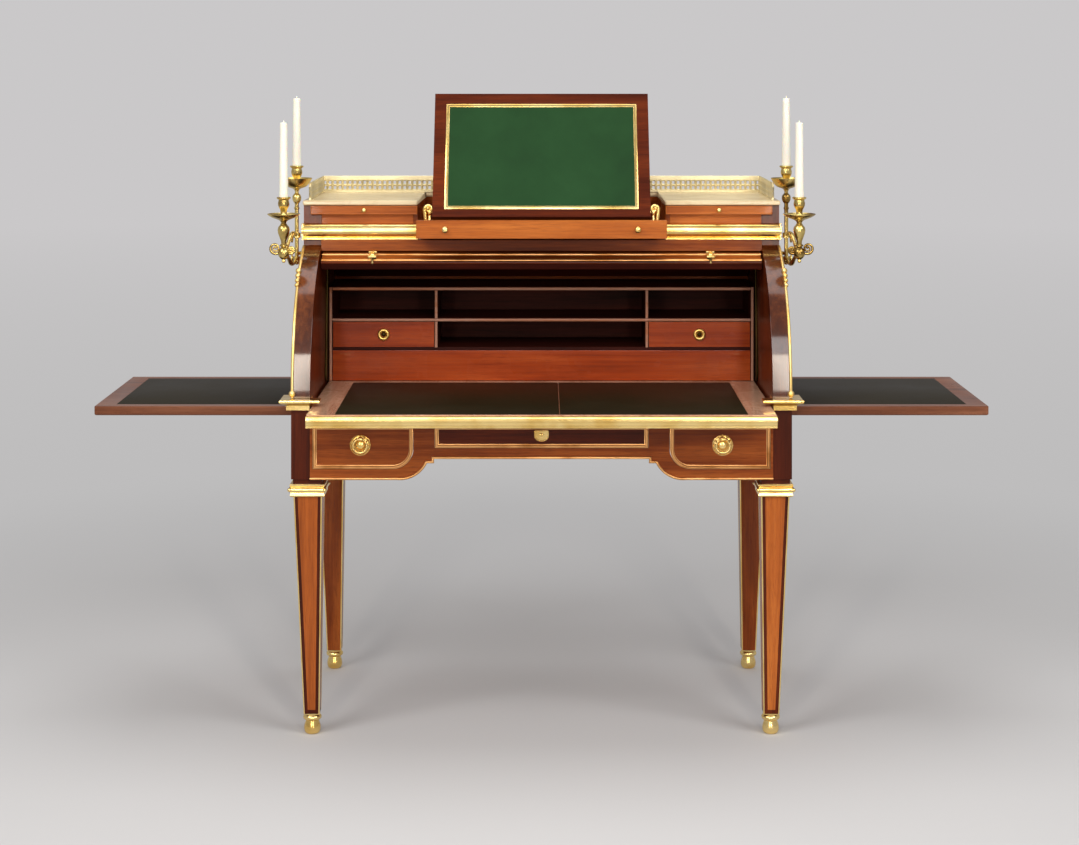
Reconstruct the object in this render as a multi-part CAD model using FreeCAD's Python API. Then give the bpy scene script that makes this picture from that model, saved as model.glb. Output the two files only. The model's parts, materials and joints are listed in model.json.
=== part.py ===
import FreeCAD, Part
import math
import os

os.makedirs("parts", exist_ok=True)

# A cylinder desk in millimetres. X runs along the width, the front faces -Y and the floor is Z = 0.
# Depths are measured back from the front face of the case.

# Case
case_width = 1170.0
case_depth = 610.0
writing_height = 775.0
side_thickness = 44.0
back_thickness = 12.0
post_depth = 50.0
rear_post_depth = 86.0
run_gap = 0.4
play = 1.5
overrun = 1.0
same_spot = 0.001

# Legs
leg_top_width = 68.0
leg_foot_width = 37.0
leg_lean = 8.0
leg_setback = 4.0
foot_height = 49.0
foot_radius = 22.0
collar_height = 30.0
collar_proud = 10.0
collar_waist = 4.0
neck_height = 11.0

# Frieze
frieze_height = 163.0
apron_thickness = 22.0
apron_arch_rise = 49.0
apron_arch_half = 252.0
apron_curve_start = 338.0
apron_step_width = 16.0
apron_step_height = 10.0
apron_curve_bulge_share = 0.16
side_rail_thickness = 22.0
partition_thickness = 12.0
dust_thickness = 9.0
runner_width = 14.0
runner_height = 12.0

# Frieze drawers
drawer_stile = 6.0
drawer_corner = 48.0
drawer_front_thickness = 20.0
drawer_wall = 9.0
drawer_floor = 6.0
drawer_back_gap = 118.0
drawer_fit = 1.0
corner_inset_share = 0.3
side_drawer_inner = 299.0
side_drawer_rise = 24.0
centre_drawer_half = 250.0
centre_drawer_rise = 24.0
drawer_top_rail = 4.0

# Round handles and the keyhole plate
handle_side_share = 0.512
handle_height_share = 0.55
rosette_radius = 25.0
rosette_thickness = 6.0
ring_radius = 16.0
ring_wire = 2.6
ring_standoff = 7.0
lug_width = 6.0
lug_margin = 2.4
lug_play = 0.6
plate_radius = 17.0
plate_thickness = 3.0

# Side leaves
leaf_thickness = 22.0
leaf_tail = 50.0
leaf_clear = 2.0
leaf_end_border = 46.0
leaf_side_border = 30.0
leather_thickness = 1.5
edge_round = 5.0
bearer_half = 60.0
bearer_stop = 5.0
cross_rail_depth = 18.0

# Writing slide, drawn out by slide_pull
slide_pull = 130.0
slide_thickness = 9.0
slide_lip_depth = 14.0
slide_lip_height = 29.0
slide_side_play = 6.0
slide_side_border = 64.0
slide_front_border = 6.0
slide_back_border = 20.0
slide_overlap = 19.0
slide_setback = 1.0

# Cylinder
cylinder_radius_share = 0.54918
cylinder_thickness = 18.0
cylinder_setback = 25.0
axis_rise = 15.0
cylinder_sill = 2.0
opening_share = 0.88955
tail_gap = 6.0
arm_thickness = 3.4
arm_play = 0.6
arm_width = 36.0
hub_radius = 13.0
pin_radius = 5.0
pin_length = 8.0
pin_fit = 0.05
trim_proud = 4.0
trim_width = 8.0
trim_step = 20.0
pull_side = 412.0
pull_width = 9.0
pull_reach = 22.0
pull_head = 22.0
pull_head_thickness = 8.0

# Quarter-round sides and their gilt blocks
side_proud = 15.0
upper_forward = 95.0
block_height = 25.0
block_depth = 72.0
block_proud = 10.0
block_cap = 7.0
block_cap_proud = 15.0

# Pigeonholes
pigeonhole_setback = 20.0
pigeonhole_side = 10.0
shelf_thickness = 8.0
panel_thickness = 5.0
plinth_thickness = 12.0
plinth_height = 76.0
inner_drawer_height = 64.5
upper_row_height = 70.5
divider_side = 265.0
inner_drawer_front = 12.0
inner_drawer_wall = 7.0
inner_drawer_back_gap = 24.0
inner_pull_radius = 16.0
inner_pull_hole = 6.0
inner_pull_thickness = 7.0
inside_gap = 3.0

# Upper case
crown_gap = 8.0
upper_floor_thickness = 8.0
fascia_thickness = 14.0
cornice_fillet = 6.0
cornice_height = 34.0
cornice_proud = 18.0
cornice_fillet_proud = 8.0
cornice_side_share = 0.22
cornice_swell_share = 0.85
backing_thickness = 14.0
upper_rail_height = 22.0
upper_drawer_height = 21.0
upper_lip_side = 26.0
upper_drawer_back_gap = 43.0
upper_drawer_wall = 7.0
upper_drawer_front = 14.0
upper_knob_radius = 6.0
upper_knob_reach = 13.0
top_thickness = 12.0
top_proud = 9.0
top_side_proud = 2.0
gallery_height = 43.0
gallery_thickness = 4.0
gallery_setback = 12.0

# Reading tray and stand, drawn out by tray_pull
bay_half = 304.0
bay_wall = 12.0
bay_play = 2.0
tray_pull = 95.0
tray_front_thickness = 16.0
tray_front_height = 44.0
tray_board_thickness = 10.0
tray_back_gap = 8.0
tray_runner_height = 11.0
tray_runner_width = 20.0
tray_knob_side = 232.0
tray_knob_radius = 8.0
tray_knob_reach = 16.0
stand_half = 264.0
stand_thickness = 18.0
stand_lean = 27.0
stand_frame_width = 37.0
stand_low_border = 12.0
stand_heel = 16.0
stand_back_gap = 8.0
stand_pivot_rise = 18.0
bracket_gap = 4.0
bracket_thickness = 6.0
bracket_radius = 12.0
bracket_pin = 4.0
bracket_pin_length = 12.0
prop_place_share = 0.406
prop_width = 30.0
prop_thickness = 6.0
prop_standoff = 6.0
prop_pin = 2.5
prop_ear = 5.0
prop_angle = 30.0

# Candle branches
stem_out = 17.0
stem_setback = 3.0
stem_radius = 5.0
stem_foot_drop = 61.0
stem_knob_rise = 6.5
stem_knob_radius = 11.0
upper_pan_rise = 39.5
lower_pan_drop = 29.5
branch_reach = 132.0
branch_out = 16.0
branch_ball_drop = 19.0
branch_ball_radius = 10.0
branch_bar_radius = 4.5
branch_sag = 14.0
low_knuckle_drop = 53.0
high_knuckle_rise = 5.0
knuckle_height = 12.0
knuckle_radius = 10.0
wall_plate_width = 34.0
wall_plate_height = 26.0
wall_plate_thickness = 5.0
pan_radius = 38.0
body_radius = 21.0
body_gap = 10.0
socket_height = 46.0
candle_radius = 11.0
candle_taper = 2.0
upper_candle_height = 165.0
lower_candle_height = 178.0
wick_height = 6.0
wick_radius = 1.2

# Turned outlines as shares of a radius and of a length
foot_shares = (
    (0, 0), (0.62, 0), (0.62, 0.16), (0.8, 0.24), (0.8, 0.5), (1, 0.66), (1, 0.84), (0.8, 1), (0, 1)
)
rosette_shares = ((0, 0), (1, 0), (1, 0.5), (0.8, 1), (0.4, 1), (0.2, 1.6), (0, 1.6))
plate_shares = ((0, 0), (1, 0), (1, 0.5), (0.5, 1), (0, 1))
knob_shares = ((0, 0), (0.6, 0), (0.4, 0.4), (1, 0.65), (0.8, 0.9), (0, 1))
holder_shares = (
    (0.22, -0.2), (0.5, -0.12), (0.78, 0.07), (1, 0.3), (0.98, 0.34), (0.74, 0.14), (0.22, 0.06),
    (0.2, 0.35), (0.36, 0.6), (0.32, 0.85), (0.42, 1),
)
baluster_shares = (
    (0, 0), (0.3, 0.04), (0.48, 0.13), (0.3, 0.23), (0.2, 0.32), (0.42, 0.55), (0.5, 0.68), (0.24, 0.84)
)

# Levels and places that follow from the sizes above
case_half = case_width / 2
inner_half = case_half - side_thickness
slide_out = slide_pull + slide_setback + slide_lip_depth
rear_reach = case_depth + collar_proud - leg_setback
front_y = (slide_out - rear_reach) / 2
back_face = case_depth - back_thickness
slide_bottom = writing_height - slide_thickness
bed_top = slide_bottom - run_gap
leaf_top = bed_top - run_gap
leaf_bottom = leaf_top - leaf_thickness
dust_top = leaf_bottom - run_gap
dust_bottom = dust_top - dust_thickness
leaf_front = post_depth + leaf_clear
rear_post_front = case_depth - rear_post_depth
leaf_depth = rear_post_front - leaf_clear - leaf_front
frieze_bottom = bed_top - frieze_height
apron_arch_bottom = frieze_bottom + apron_arch_rise
side_drawer_bottom = frieze_bottom + side_drawer_rise
centre_drawer_bottom = apron_arch_bottom + centre_drawer_rise
drawer_end = back_face - drawer_back_gap
leaf_length = case_half - bearer_half - bearer_stop
leaf_pull = leaf_length - leaf_tail
drawer_opening_top = dust_bottom - drawer_top_rail

cylinder_radius = case_depth * cylinder_radius_share
axis_depth = cylinder_setback + cylinder_radius
upper_front = axis_depth - upper_forward
pigeonhole_front = axis_depth + pigeonhole_setback
axis_height = writing_height + axis_rise
cylinder_inner = cylinder_radius - cylinder_thickness
lead_closed = -math.degrees(math.asin((axis_rise - cylinder_sill) / cylinder_radius))
lead_open = math.degrees(math.asin(opening_share))
tail_open = 180 - math.degrees(math.acos((back_face - tail_gap - axis_depth) / cylinder_radius))
cylinder_turn = lead_open - lead_closed

pigeonhole_bottom = writing_height + play
shelf_levels = [pigeonhole_bottom + plinth_height]
shelf_levels.append(shelf_levels[0] + shelf_thickness + inner_drawer_height)
shelf_levels.append(shelf_levels[1] + shelf_thickness + upper_row_height)
pigeonhole_top = shelf_levels[2] + shelf_thickness
pigeonhole_half = inner_half - arm_thickness - arm_play - play
pigeonhole_inner = pigeonhole_half - pigeonhole_side

upper_floor_bottom = axis_height + cylinder_radius + crown_gap
upper_floor_top = upper_floor_bottom + upper_floor_thickness
cornice_top = upper_floor_top + cornice_fillet + cornice_height
upper_shelf_top = cornice_top + upper_rail_height
upper_case_top = upper_shelf_top + upper_drawer_height + play
case_top = upper_case_top + top_thickness

tray_runner_top = upper_floor_top + tray_runner_height
tray_bottom = tray_runner_top + run_gap
tray_board_top = tray_bottom + tray_board_thickness
tray_front = upper_front - cornice_proud - tray_pull - play
tray_front_back = tray_front + tray_front_thickness
pivot_depth = tray_front_back + bracket_radius + play
pivot_height = tray_bottom + tray_front_height + stand_pivot_rise
stand_height = back_face - stand_back_gap - tray_pull - pivot_depth
prop_place = stand_height * prop_place_share

stem_x = case_half + stem_out
stem_depth = upper_front - stem_setback
stem_foot = upper_floor_top - stem_foot_drop
stem_knob_height = case_top + stem_knob_rise
upper_pan_height = case_top + upper_pan_rise
lower_pan_height = case_top - lower_pan_drop
branch_ball_height = upper_floor_top - branch_ball_drop
branch_low_knuckle = upper_floor_top - low_knuckle_drop
branch_high_knuckle = upper_floor_top + high_knuckle_rise
lower_candle_x = stem_x + branch_out
lower_candle_depth = stem_depth - branch_reach


def spot(x, depth, z):
    """A point given by width, depth behind the case front and height."""
    return FreeCAD.Vector(x, front_y + depth, z)


def block(x0, x1, d0, d1, z0, z1):
    """A rectangular board between two corners."""
    return Part.makeBox(x1 - x0, d1 - d0, z1 - z0, spot(x0, d0, z0))


def mirrored(shape):
    """The same piece on the other side of the desk."""
    return shape.mirror(FreeCAD.Vector(0, 0, 0), FreeCAD.Vector(1, 0, 0))


def pair(shape):
    """A piece and its mirror image."""
    return [shape, mirrored(shape)]


def outline(place, start, steps):
    """A flat face; a step is an end point, or a middle and an end point of an arc."""
    edges = []
    here = place(*start)
    for step in steps:
        if isinstance(step[0], tuple):
            there = place(*step[1])
            edges.append(Part.Arc(here, place(*step[0]), there).toShape())
        else:
            there = place(*step)
            if here.isEqual(there, same_spot):
                continue
            edges.append(Part.LineSegment(here, there).toShape())
        here = there
    return Part.Face(Part.Wire(edges))


def cross_slab(x0, x1, start, steps):
    """A board whose outline is drawn in depth and height, seen from the side."""
    face = outline(lambda d, z: spot(x0, d, z), start, steps)
    return face.extrude(FreeCAD.Vector(x1 - x0, 0, 0))


def front_slab(d0, d1, start, steps):
    """A board whose outline is drawn in width and height, seen from the front."""
    face = outline(lambda x, z: spot(x, d0, z), start, steps)
    return face.extrude(FreeCAD.Vector(0, d1 - d0, 0))


def turned(x, depth, profile):
    """A round upright piece from (radius, height) points that start and end on its axis."""
    points = [spot(x + radius, depth, z) for radius, z in profile]
    face = Part.Face(Part.makePolygon(points + points[:1]))
    return face.revolve(spot(x, depth, 0), FreeCAD.Vector(0, 0, 1), 360)


def turned_forward(x, z, profile):
    """A round piece on a front face from (radius, depth) points that start and end on its axis."""
    points = [spot(x + radius, depth, z) for radius, depth in profile]
    face = Part.Face(Part.makePolygon(points + points[:1]))
    return face.revolve(spot(x, 0, z), FreeCAD.Vector(0, 1, 0), 360)


def shaped(shares, radius, length, base):
    """Points of a turned outline that is given as shares of its radius and length."""
    return [(wide * radius, base + along * length) for wide, along in shares]


def round_bar(start, end, radius):
    """A straight round bar between two points."""
    return Part.makeCylinder(radius, (end - start).Length, start, end - start)


def on_arc(angle, radius):
    """Depth and height at an angle above the front horizon of the cylinder's axis."""
    turn = math.radians(angle)
    return (axis_depth - radius * math.cos(turn), axis_height + radius * math.sin(turn))


def arc_slab(x0, x1, angle0, angle1, inner, outer):
    """A curved board about the cylinder's axis."""
    middle = (angle0 + angle1) / 2
    steps = [
        (on_arc(middle, outer), on_arc(angle1, outer)),
        on_arc(angle1, inner),
        (on_arc(middle, inner), on_arc(angle0, inner)),
        on_arc(angle0, outer),
    ]
    return cross_slab(x0, x1, on_arc(angle0, outer), steps)


def save(node, *solids):
    """Write one node, which is one solid or a group of like solids."""
    shape = solids[0] if len(solids) == 1 else Part.makeCompound(list(solids))
    shape.exportStep("parts/" + node + ".step")


def make_legs():
    """Square tapering legs with corner posts, gilt feet and gilt collars."""
    half_top = leg_top_width / 2
    half_foot = leg_foot_width / 2
    centre_x = case_half - leg_setback - half_top
    collar_bottom = frieze_bottom - neck_height - collar_height
    legs, feet, collars = [], [], []
    places = [
        (leg_setback + half_top, 0, post_depth),
        (case_depth - leg_setback - half_top, rear_post_front, case_depth),
    ]
    for centre_depth, post_start, post_end in places:
        squares = []
        ends = (
            (half_foot, centre_x - leg_lean, foot_height),
            (half_top, centre_x, frieze_bottom - neck_height),
        )
        for half, end_x, z in ends:
            corners = [(-half, -half), (half, -half), (half, half), (-half, half), (-half, -half)]
            points = [spot(end_x + dx, centre_depth + dy, z) for dx, dy in corners]
            squares.append(Part.makePolygon(points))
        taper = Part.makeLoft(squares, True, True)
        neck = block(
            centre_x - half_top, centre_x + half_top,
            centre_depth - half_top, centre_depth + half_top,
            frieze_bottom - neck_height, frieze_bottom,
        )
        post = block(inner_half, case_half, post_start, post_end, frieze_bottom, bed_top)
        leg = taper.fuse([neck, post]).removeSplitter()
        legs += pair(leg)
        ring_half = half_top + collar_proud
        waist_half = ring_half - collar_waist
        band = collar_height / 3
        collar = None
        for level, half in enumerate((waist_half, ring_half, waist_half)):
            low = collar_bottom + level * band
            tier = block(
                centre_x - half, centre_x + half,
                centre_depth - half, centre_depth + half, low, low + band,
            )
            collar = tier if collar is None else collar.fuse(tier)
        collars += pair(collar.removeSplitter().cut(leg))
        foot_line = shaped(foot_shares, foot_radius, foot_height, 0)
        feet += pair(turned(centre_x - leg_lean, centre_depth, foot_line))
    save("legs", *legs)
    save("leg_feet", *feet)
    save("leg_collars", *collars)


def drawer_steps(x0, x1, z0, z1, corner):
    """The outline of a drawer front whose lower inner corner is round."""
    slant = corner * (1 - math.sqrt(0.5))
    start = (x0 + corner, z0)
    arc = ((x0 + slant, z0 + slant), start)
    return start, [(x1, z0), (x1, z1), (x0, z1), (x0, z0 + corner), arc]


def open_box(x0, x1, d0, d1, z0, z1, wall, floor):
    """A drawer's sides, back and floor, open at the top and at the front."""
    shell = block(x0, x1, d0, d1, z0, z1)
    return shell.cut(block(x0 + wall, x1 - wall, d0 - overrun, d1 - wall, z0 + floor, z1 + overrun))


def make_frieze():
    """The front apron, side rails, back, drawer carcase and the bed of slide and leaves."""
    curve_end = apron_arch_half + apron_step_width
    step_level = apron_arch_bottom - apron_step_height
    chord_x = apron_curve_start - curve_end
    chord_z = step_level - frieze_bottom
    middle = (
        curve_end + chord_x / 2 - chord_z * apron_curve_bulge_share,
        frieze_bottom + chord_z / 2 - chord_x * apron_curve_bulge_share,
    )
    apron = front_slab(0, apron_thickness, (0, apron_arch_bottom), [
        (apron_arch_half, apron_arch_bottom),
        (apron_arch_half, step_level),
        (curve_end, step_level),
        (middle, (apron_curve_start, frieze_bottom)),
        (inner_half, frieze_bottom),
        (inner_half, bed_top),
        (0, bed_top),
        (0, apron_arch_bottom),
    ])
    apron = apron.fuse(mirrored(apron)).removeSplitter()
    start, steps = drawer_steps(
        side_drawer_inner, inner_half - drawer_stile, side_drawer_bottom, drawer_opening_top, drawer_corner
    )
    opening = front_slab(-overrun, apron_thickness + overrun, start, steps)
    centre = block(
        -centre_drawer_half, centre_drawer_half, -overrun, apron_thickness + overrun,
        centre_drawer_bottom, drawer_opening_top,
    )
    save("front_apron", apron.cut(pair(opening) + [centre]))

    rail = block(
        case_half - side_rail_thickness, case_half, post_depth, rear_post_front, frieze_bottom, dust_top
    )
    save("side_rails", *pair(rail))
    save("back_panel", block(-inner_half, inner_half, back_face, case_depth, frieze_bottom, upper_case_top))

    partition_x = (centre_drawer_half + side_drawer_inner) / 2 - partition_thickness / 2
    carcase = pair(block(
        partition_x, partition_x + partition_thickness, apron_thickness, back_face,
        apron_arch_bottom, dust_bottom,
    ))
    for x, top in runner_places():
        carcase += pair(block(x, x + runner_width, apron_thickness, back_face, top - runner_height, top))
    save("drawer_runners", *carcase)

    bed = block(-inner_half, inner_half, apron_thickness, back_face, dust_bottom, dust_top)
    bearer = block(-bearer_half, bearer_half, apron_thickness, rear_post_front, dust_top, bed_top)
    cross = block(
        -inner_half, inner_half, rear_post_front, rear_post_front + cross_rail_depth, dust_top, bed_top
    )
    save("slide_bed", bed, bearer, cross)


def side_drawer_box():
    """Inner and outer side and floor level of a side drawer's box."""
    inset = drawer_corner * corner_inset_share
    low_x = side_drawer_inner + drawer_fit + inset
    high_x = inner_half - drawer_stile - drawer_fit - play
    return low_x, high_x, side_drawer_bottom + drawer_fit + inset


def runner_places():
    """Inner edge and top of each runner on the right half of the frieze."""
    low_x, high_x, floor = side_drawer_box()
    centre_x = centre_drawer_half - drawer_fit - play - runner_width
    centre_floor = centre_drawer_bottom + drawer_fit
    return [
        (low_x + drawer_wall, floor - run_gap),
        (high_x - runner_width, floor - run_gap),
        (centre_x, centre_floor - run_gap),
    ]


def make_frieze_drawers():
    """Three drawers with round handles on the outer two and a keyhole plate between."""
    low_x, high_x, floor = side_drawer_box()
    top = drawer_opening_top - drawer_fit
    start, steps = drawer_steps(
        side_drawer_inner + drawer_fit, inner_half - drawer_stile - drawer_fit,
        side_drawer_bottom + drawer_fit, top, drawer_corner,
    )
    front = front_slab(0, drawer_front_thickness, start, steps)
    box = open_box(
        low_x, high_x, drawer_front_thickness, drawer_end, floor, top - play, drawer_wall, drawer_floor
    )
    drawer = front.fuse(box).removeSplitter()
    handle_x = side_drawer_inner + (inner_half - side_drawer_inner) * handle_side_share
    handle_z = side_drawer_bottom + (drawer_opening_top - side_drawer_bottom) * handle_height_share
    rosette, ring = make_handle(handle_x, handle_z)
    for side, turn in (("right", lambda shape: shape), ("left", mirrored)):
        save("drawer_" + side, turn(drawer))
        save("rosette_" + side, turn(rosette))
        save("ring_" + side, turn(ring))

    half = centre_drawer_half - drawer_fit
    centre_low = centre_drawer_bottom + drawer_fit
    front = block(-half, half, 0, drawer_front_thickness, centre_low, top)
    box = open_box(
        play - half, half - play, drawer_front_thickness, drawer_end,
        centre_low, top - play, drawer_wall, drawer_floor,
    )
    save("drawer_centre", front.fuse(box).removeSplitter())
    middle = (centre_low + top) / 2
    save("keyhole_plate", turned_forward(
        0, middle, shaped(plate_shares, plate_radius, -plate_thickness, 0)
    ))


def make_handle(x, z):
    """A round rosette with a lug, and the ring that hangs in the lug."""
    disc = turned_forward(x, z, shaped(rosette_shares, rosette_radius, -rosette_thickness, 0))
    ring_depth = -rosette_thickness - ring_standoff
    lug_z = z + ring_radius
    eye = ring_wire + lug_play
    lug_half = eye + lug_margin
    lug = block(
        x - lug_width / 2, x + lug_width / 2, ring_depth - lug_half, -rosette_thickness,
        lug_z - lug_half, lug_z + lug_half,
    )
    hole_start = spot(x - lug_width, ring_depth, lug_z)
    lug = lug.cut(Part.makeCylinder(eye, lug_width * 2, hole_start, FreeCAD.Vector(1, 0, 0)))
    ring = Part.makeTorus(ring_radius, ring_wire, spot(x, ring_depth, z), FreeCAD.Vector(0, 1, 0))
    return disc.fuse(lug).removeSplitter(), ring


def make_leaves():
    """Two pull-out leaves, drawn out, each with a leather top let into its board."""
    outer = case_half + leaf_pull
    inner = outer - leaf_length
    board = block(inner, outer, leaf_front, leaf_front + leaf_depth, leaf_bottom, leaf_top)
    lower_edges = [
        edge for edge in board.Edges
        if edge.BoundBox.ZMax < leaf_bottom + edge_round and edge.BoundBox.XMax > outer - edge_round
    ]
    board = board.makeFillet(edge_round, lower_edges)
    leather = block(
        case_half, outer - leaf_end_border, leaf_front + leaf_side_border,
        leaf_front + leaf_depth - leaf_side_border, leaf_top - leather_thickness, leaf_top,
    )
    board = board.cut(leather)
    for side, turn in (("right", lambda shape: shape), ("left", mirrored)):
        save("leaf_" + side, turn(board))
        save("leaf_leather_" + side, turn(leather))


def make_slide():
    """The writing slide, drawn out, with its gilt lip and leather."""
    half = inner_half - slide_side_play
    board_front = slide_lip_depth - slide_out
    board_back = pigeonhole_front + slide_overlap
    board = block(-half, half, board_front, board_back, slide_bottom, writing_height)
    leather = block(
        slide_side_border - half, half - slide_side_border, board_front + slide_front_border,
        board_back - slide_back_border - slide_overlap, writing_height - leather_thickness, writing_height,
    )
    lip = block(
        -half, half, -slide_out, board_front, writing_height - slide_lip_height, writing_height
    )
    front_edges = [edge for edge in lip.Edges if edge.BoundBox.YMax < front_y - slide_out + overrun]
    long_edges = [edge for edge in front_edges if edge.Length > half]
    save("slide_board", board.cut(leather))
    save("slide_leather", leather)
    save("slide_lip", lip.makeFillet(slide_lip_depth / 3, long_edges))


def make_cylinder():
    """The curved fall, turned up out of the way, with its gilt lines, pulls and pivot arms."""
    half = inner_half - arm_thickness - arm_play
    save("cylinder_panel", arc_slab(-half, half, lead_open, tail_open, cylinder_inner, cylinder_radius))
    degrees_per_length = math.degrees(1 / cylinder_radius)
    lines = []
    for offset in (0, trim_step):
        low = lead_open + offset * degrees_per_length
        high = low + trim_width * degrees_per_length
        lines.append(arc_slab(-half, half, low, high, cylinder_radius, cylinder_radius + trim_proud))
    save("cylinder_lines", *lines)

    angle = lead_open + (trim_step + trim_width) / 2 * degrees_per_length
    foot = spot(pull_side, *on_arc(angle, cylinder_radius))
    neck = spot(pull_side, *on_arc(angle, cylinder_radius + pull_reach - pull_head_thickness))
    tip = spot(pull_side, *on_arc(angle, cylinder_radius + pull_reach))
    pull = round_bar(foot, neck, pull_width / 2).fuse(round_bar(neck, tip, pull_head / 2))
    save("cylinder_pulls", *pair(pull.removeSplitter()))

    middle = (lead_open + tail_open) / 2
    bar_length = cylinder_radius - cylinder_thickness / 2
    bar = block(
        half, half + arm_thickness, axis_depth - arm_width / 2, axis_depth + arm_width / 2,
        axis_height, axis_height + bar_length,
    )
    centre = spot(half, axis_depth, axis_height)
    across = FreeCAD.Vector(1, 0, 0)
    bar.rotate(centre, across, 90 - middle)
    hub = Part.makeCylinder(hub_radius, arm_thickness, centre, across)
    pin = Part.makeCylinder(pin_radius, inner_half + pin_length - half, centre, across)
    save("cylinder_arms", *pair(bar.fuse([hub, pin]).removeSplitter()))


def make_uprights():
    """Quarter-round sides above the leaves, and the gilt blocks at their feet."""
    radius = cylinder_radius + side_proud
    block_back = block_depth - block_proud
    block_top = bed_top + block_height
    low = math.degrees(math.asin((block_top - axis_height) / radius))
    high = math.degrees(math.acos((axis_depth - upper_front) / radius))
    upright = cross_slab(inner_half, case_half, (block_back, bed_top), [
        (case_depth, bed_top),
        (case_depth, upper_case_top),
        (upper_front, upper_case_top),
        on_arc(high, radius),
        (on_arc((low + high) / 2, radius), on_arc(low, radius)),
        (block_back, block_top),
        (block_back, bed_top),
    ])
    hole_start = spot(inner_half - overrun, axis_depth, axis_height)
    hole_length = overrun + pin_length + play
    upright = upright.cut(
        Part.makeCylinder(pin_radius + pin_fit, hole_length, hole_start, FreeCAD.Vector(1, 0, 0))
    )
    save("side_upright_right", upright)
    save("side_upright_left", mirrored(upright))

    cap_front = -block_proud - block_cap_proud
    cap_bottom = block_top - block_cap
    base = block(inner_half, case_half + block_proud, -block_proud, block_back, bed_top, cap_bottom)
    cap = block(
        inner_half, case_half + block_proud + block_cap_proud, cap_front, block_back, cap_bottom, block_top
    )
    tongue = block(
        inner_half - block_proud - block_cap_proud, inner_half, cap_front, cylinder_setback - block_proud,
        cap_bottom, block_top,
    )
    save("upright_blocks", *pair(base.fuse([cap, tongue]).removeSplitter()))


def make_pigeonholes():
    """Shelves, dividers and panels behind the writing slide, with two small drawers."""
    reach = cylinder_inner - inside_gap
    back = min(back_face, axis_depth + math.sqrt(reach ** 2 - (pigeonhole_top - axis_height) ** 2))
    side_high = min(pigeonhole_top, axis_height + math.sqrt(reach ** 2 - (back_face - axis_depth) ** 2))
    panel_front = back - panel_thickness
    side = cross_slab(pigeonhole_inner, pigeonhole_half, (pigeonhole_front, pigeonhole_bottom), [
        (back_face, pigeonhole_bottom),
        (back_face, side_high),
        (back, pigeonhole_top),
        (pigeonhole_front, pigeonhole_top),
        (pigeonhole_front, pigeonhole_bottom),
    ])
    divider_x = divider_side - shelf_thickness / 2
    uprights = pair(side)
    for low, high in zip(shelf_levels, shelf_levels[1:]):
        uprights += pair(block(
            divider_x, divider_x + shelf_thickness, pigeonhole_front, panel_front,
            low + shelf_thickness, high,
        ))
    save("pigeonhole_uprights", *uprights)
    save("pigeonhole_shelves", *[
        block(-pigeonhole_inner, pigeonhole_inner, pigeonhole_front, panel_front, low, low + shelf_thickness)
        for low in shelf_levels
    ])
    plinth = block(
        -pigeonhole_inner, pigeonhole_inner, pigeonhole_front, pigeonhole_front + plinth_thickness,
        pigeonhole_bottom, shelf_levels[0],
    )
    panel = block(-pigeonhole_inner, pigeonhole_inner, panel_front, back, shelf_levels[0], pigeonhole_top)
    save("pigeonhole_panels", plinth, panel)

    x0 = divider_x + shelf_thickness + drawer_fit
    x1 = pigeonhole_inner - drawer_fit
    z0 = shelf_levels[0] + shelf_thickness + run_gap
    z1 = shelf_levels[1] - drawer_fit
    box_front = pigeonhole_front + inner_drawer_front
    front = block(x0, x1, pigeonhole_front, box_front, z0, z1)
    box = open_box(
        x0, x1, box_front, panel_front - inner_drawer_back_gap, z0, z1 - play,
        inner_drawer_wall, drawer_floor,
    )
    drawer = front.fuse(box).removeSplitter()
    ring_middle = (inner_pull_radius + inner_pull_hole) / 2
    ring_front = pigeonhole_front - inner_pull_thickness
    ring_edge = pigeonhole_front - inner_pull_thickness / 2
    ring = turned_forward((x0 + x1) / 2, (z0 + z1) / 2, [
        (inner_pull_hole, pigeonhole_front),
        (inner_pull_radius, pigeonhole_front),
        (inner_pull_radius, ring_edge),
        (ring_middle, ring_front),
        (inner_pull_hole, ring_edge),
    ])
    for name, turn in (("right", lambda shape: shape), ("left", mirrored)):
        save("inner_drawer_" + name, turn(drawer))
        save("inner_pull_" + name, turn(ring))


def make_cornice():
    """A gilt moulding along the front beside the bay and back along each side."""
    swell_bottom = upper_floor_top + cornice_fillet
    bead_bottom = cornice_top - cornice_fillet
    middle = (
        cornice_fillet_proud + (cornice_proud - cornice_fillet_proud) * cornice_swell_share,
        (swell_bottom + bead_bottom) / 2,
    )
    profile = [
        (cornice_fillet_proud, upper_floor_top),
        (cornice_fillet_proud, swell_bottom),
        (middle, (cornice_proud, bead_bottom)),
        (cornice_proud, cornice_top),
        (0, cornice_top),
        (0, upper_floor_top),
    ]
    along = outline(lambda out, z: spot(bay_half, upper_front - out, z), (0, upper_floor_top), profile)
    front_run = along.extrude(FreeCAD.Vector(case_half - bay_half, 0, 0))
    side_proud = cornice_proud * cornice_side_share
    front_end = along.extrude(FreeCAD.Vector(case_half + side_proud - bay_half, 0, 0))
    back = outline(
        lambda out, z: spot(case_half + out * cornice_side_share, case_depth, z),
        (0, upper_floor_top), profile,
    )
    side_run = back.extrude(FreeCAD.Vector(0, upper_front - case_depth, 0))
    side_end = back.extrude(FreeCAD.Vector(0, upper_front - cornice_proud - case_depth, 0))
    corner = front_end.common(side_end)
    save("cornice", *pair(front_run.fuse([side_run, corner]).removeSplitter()))


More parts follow.
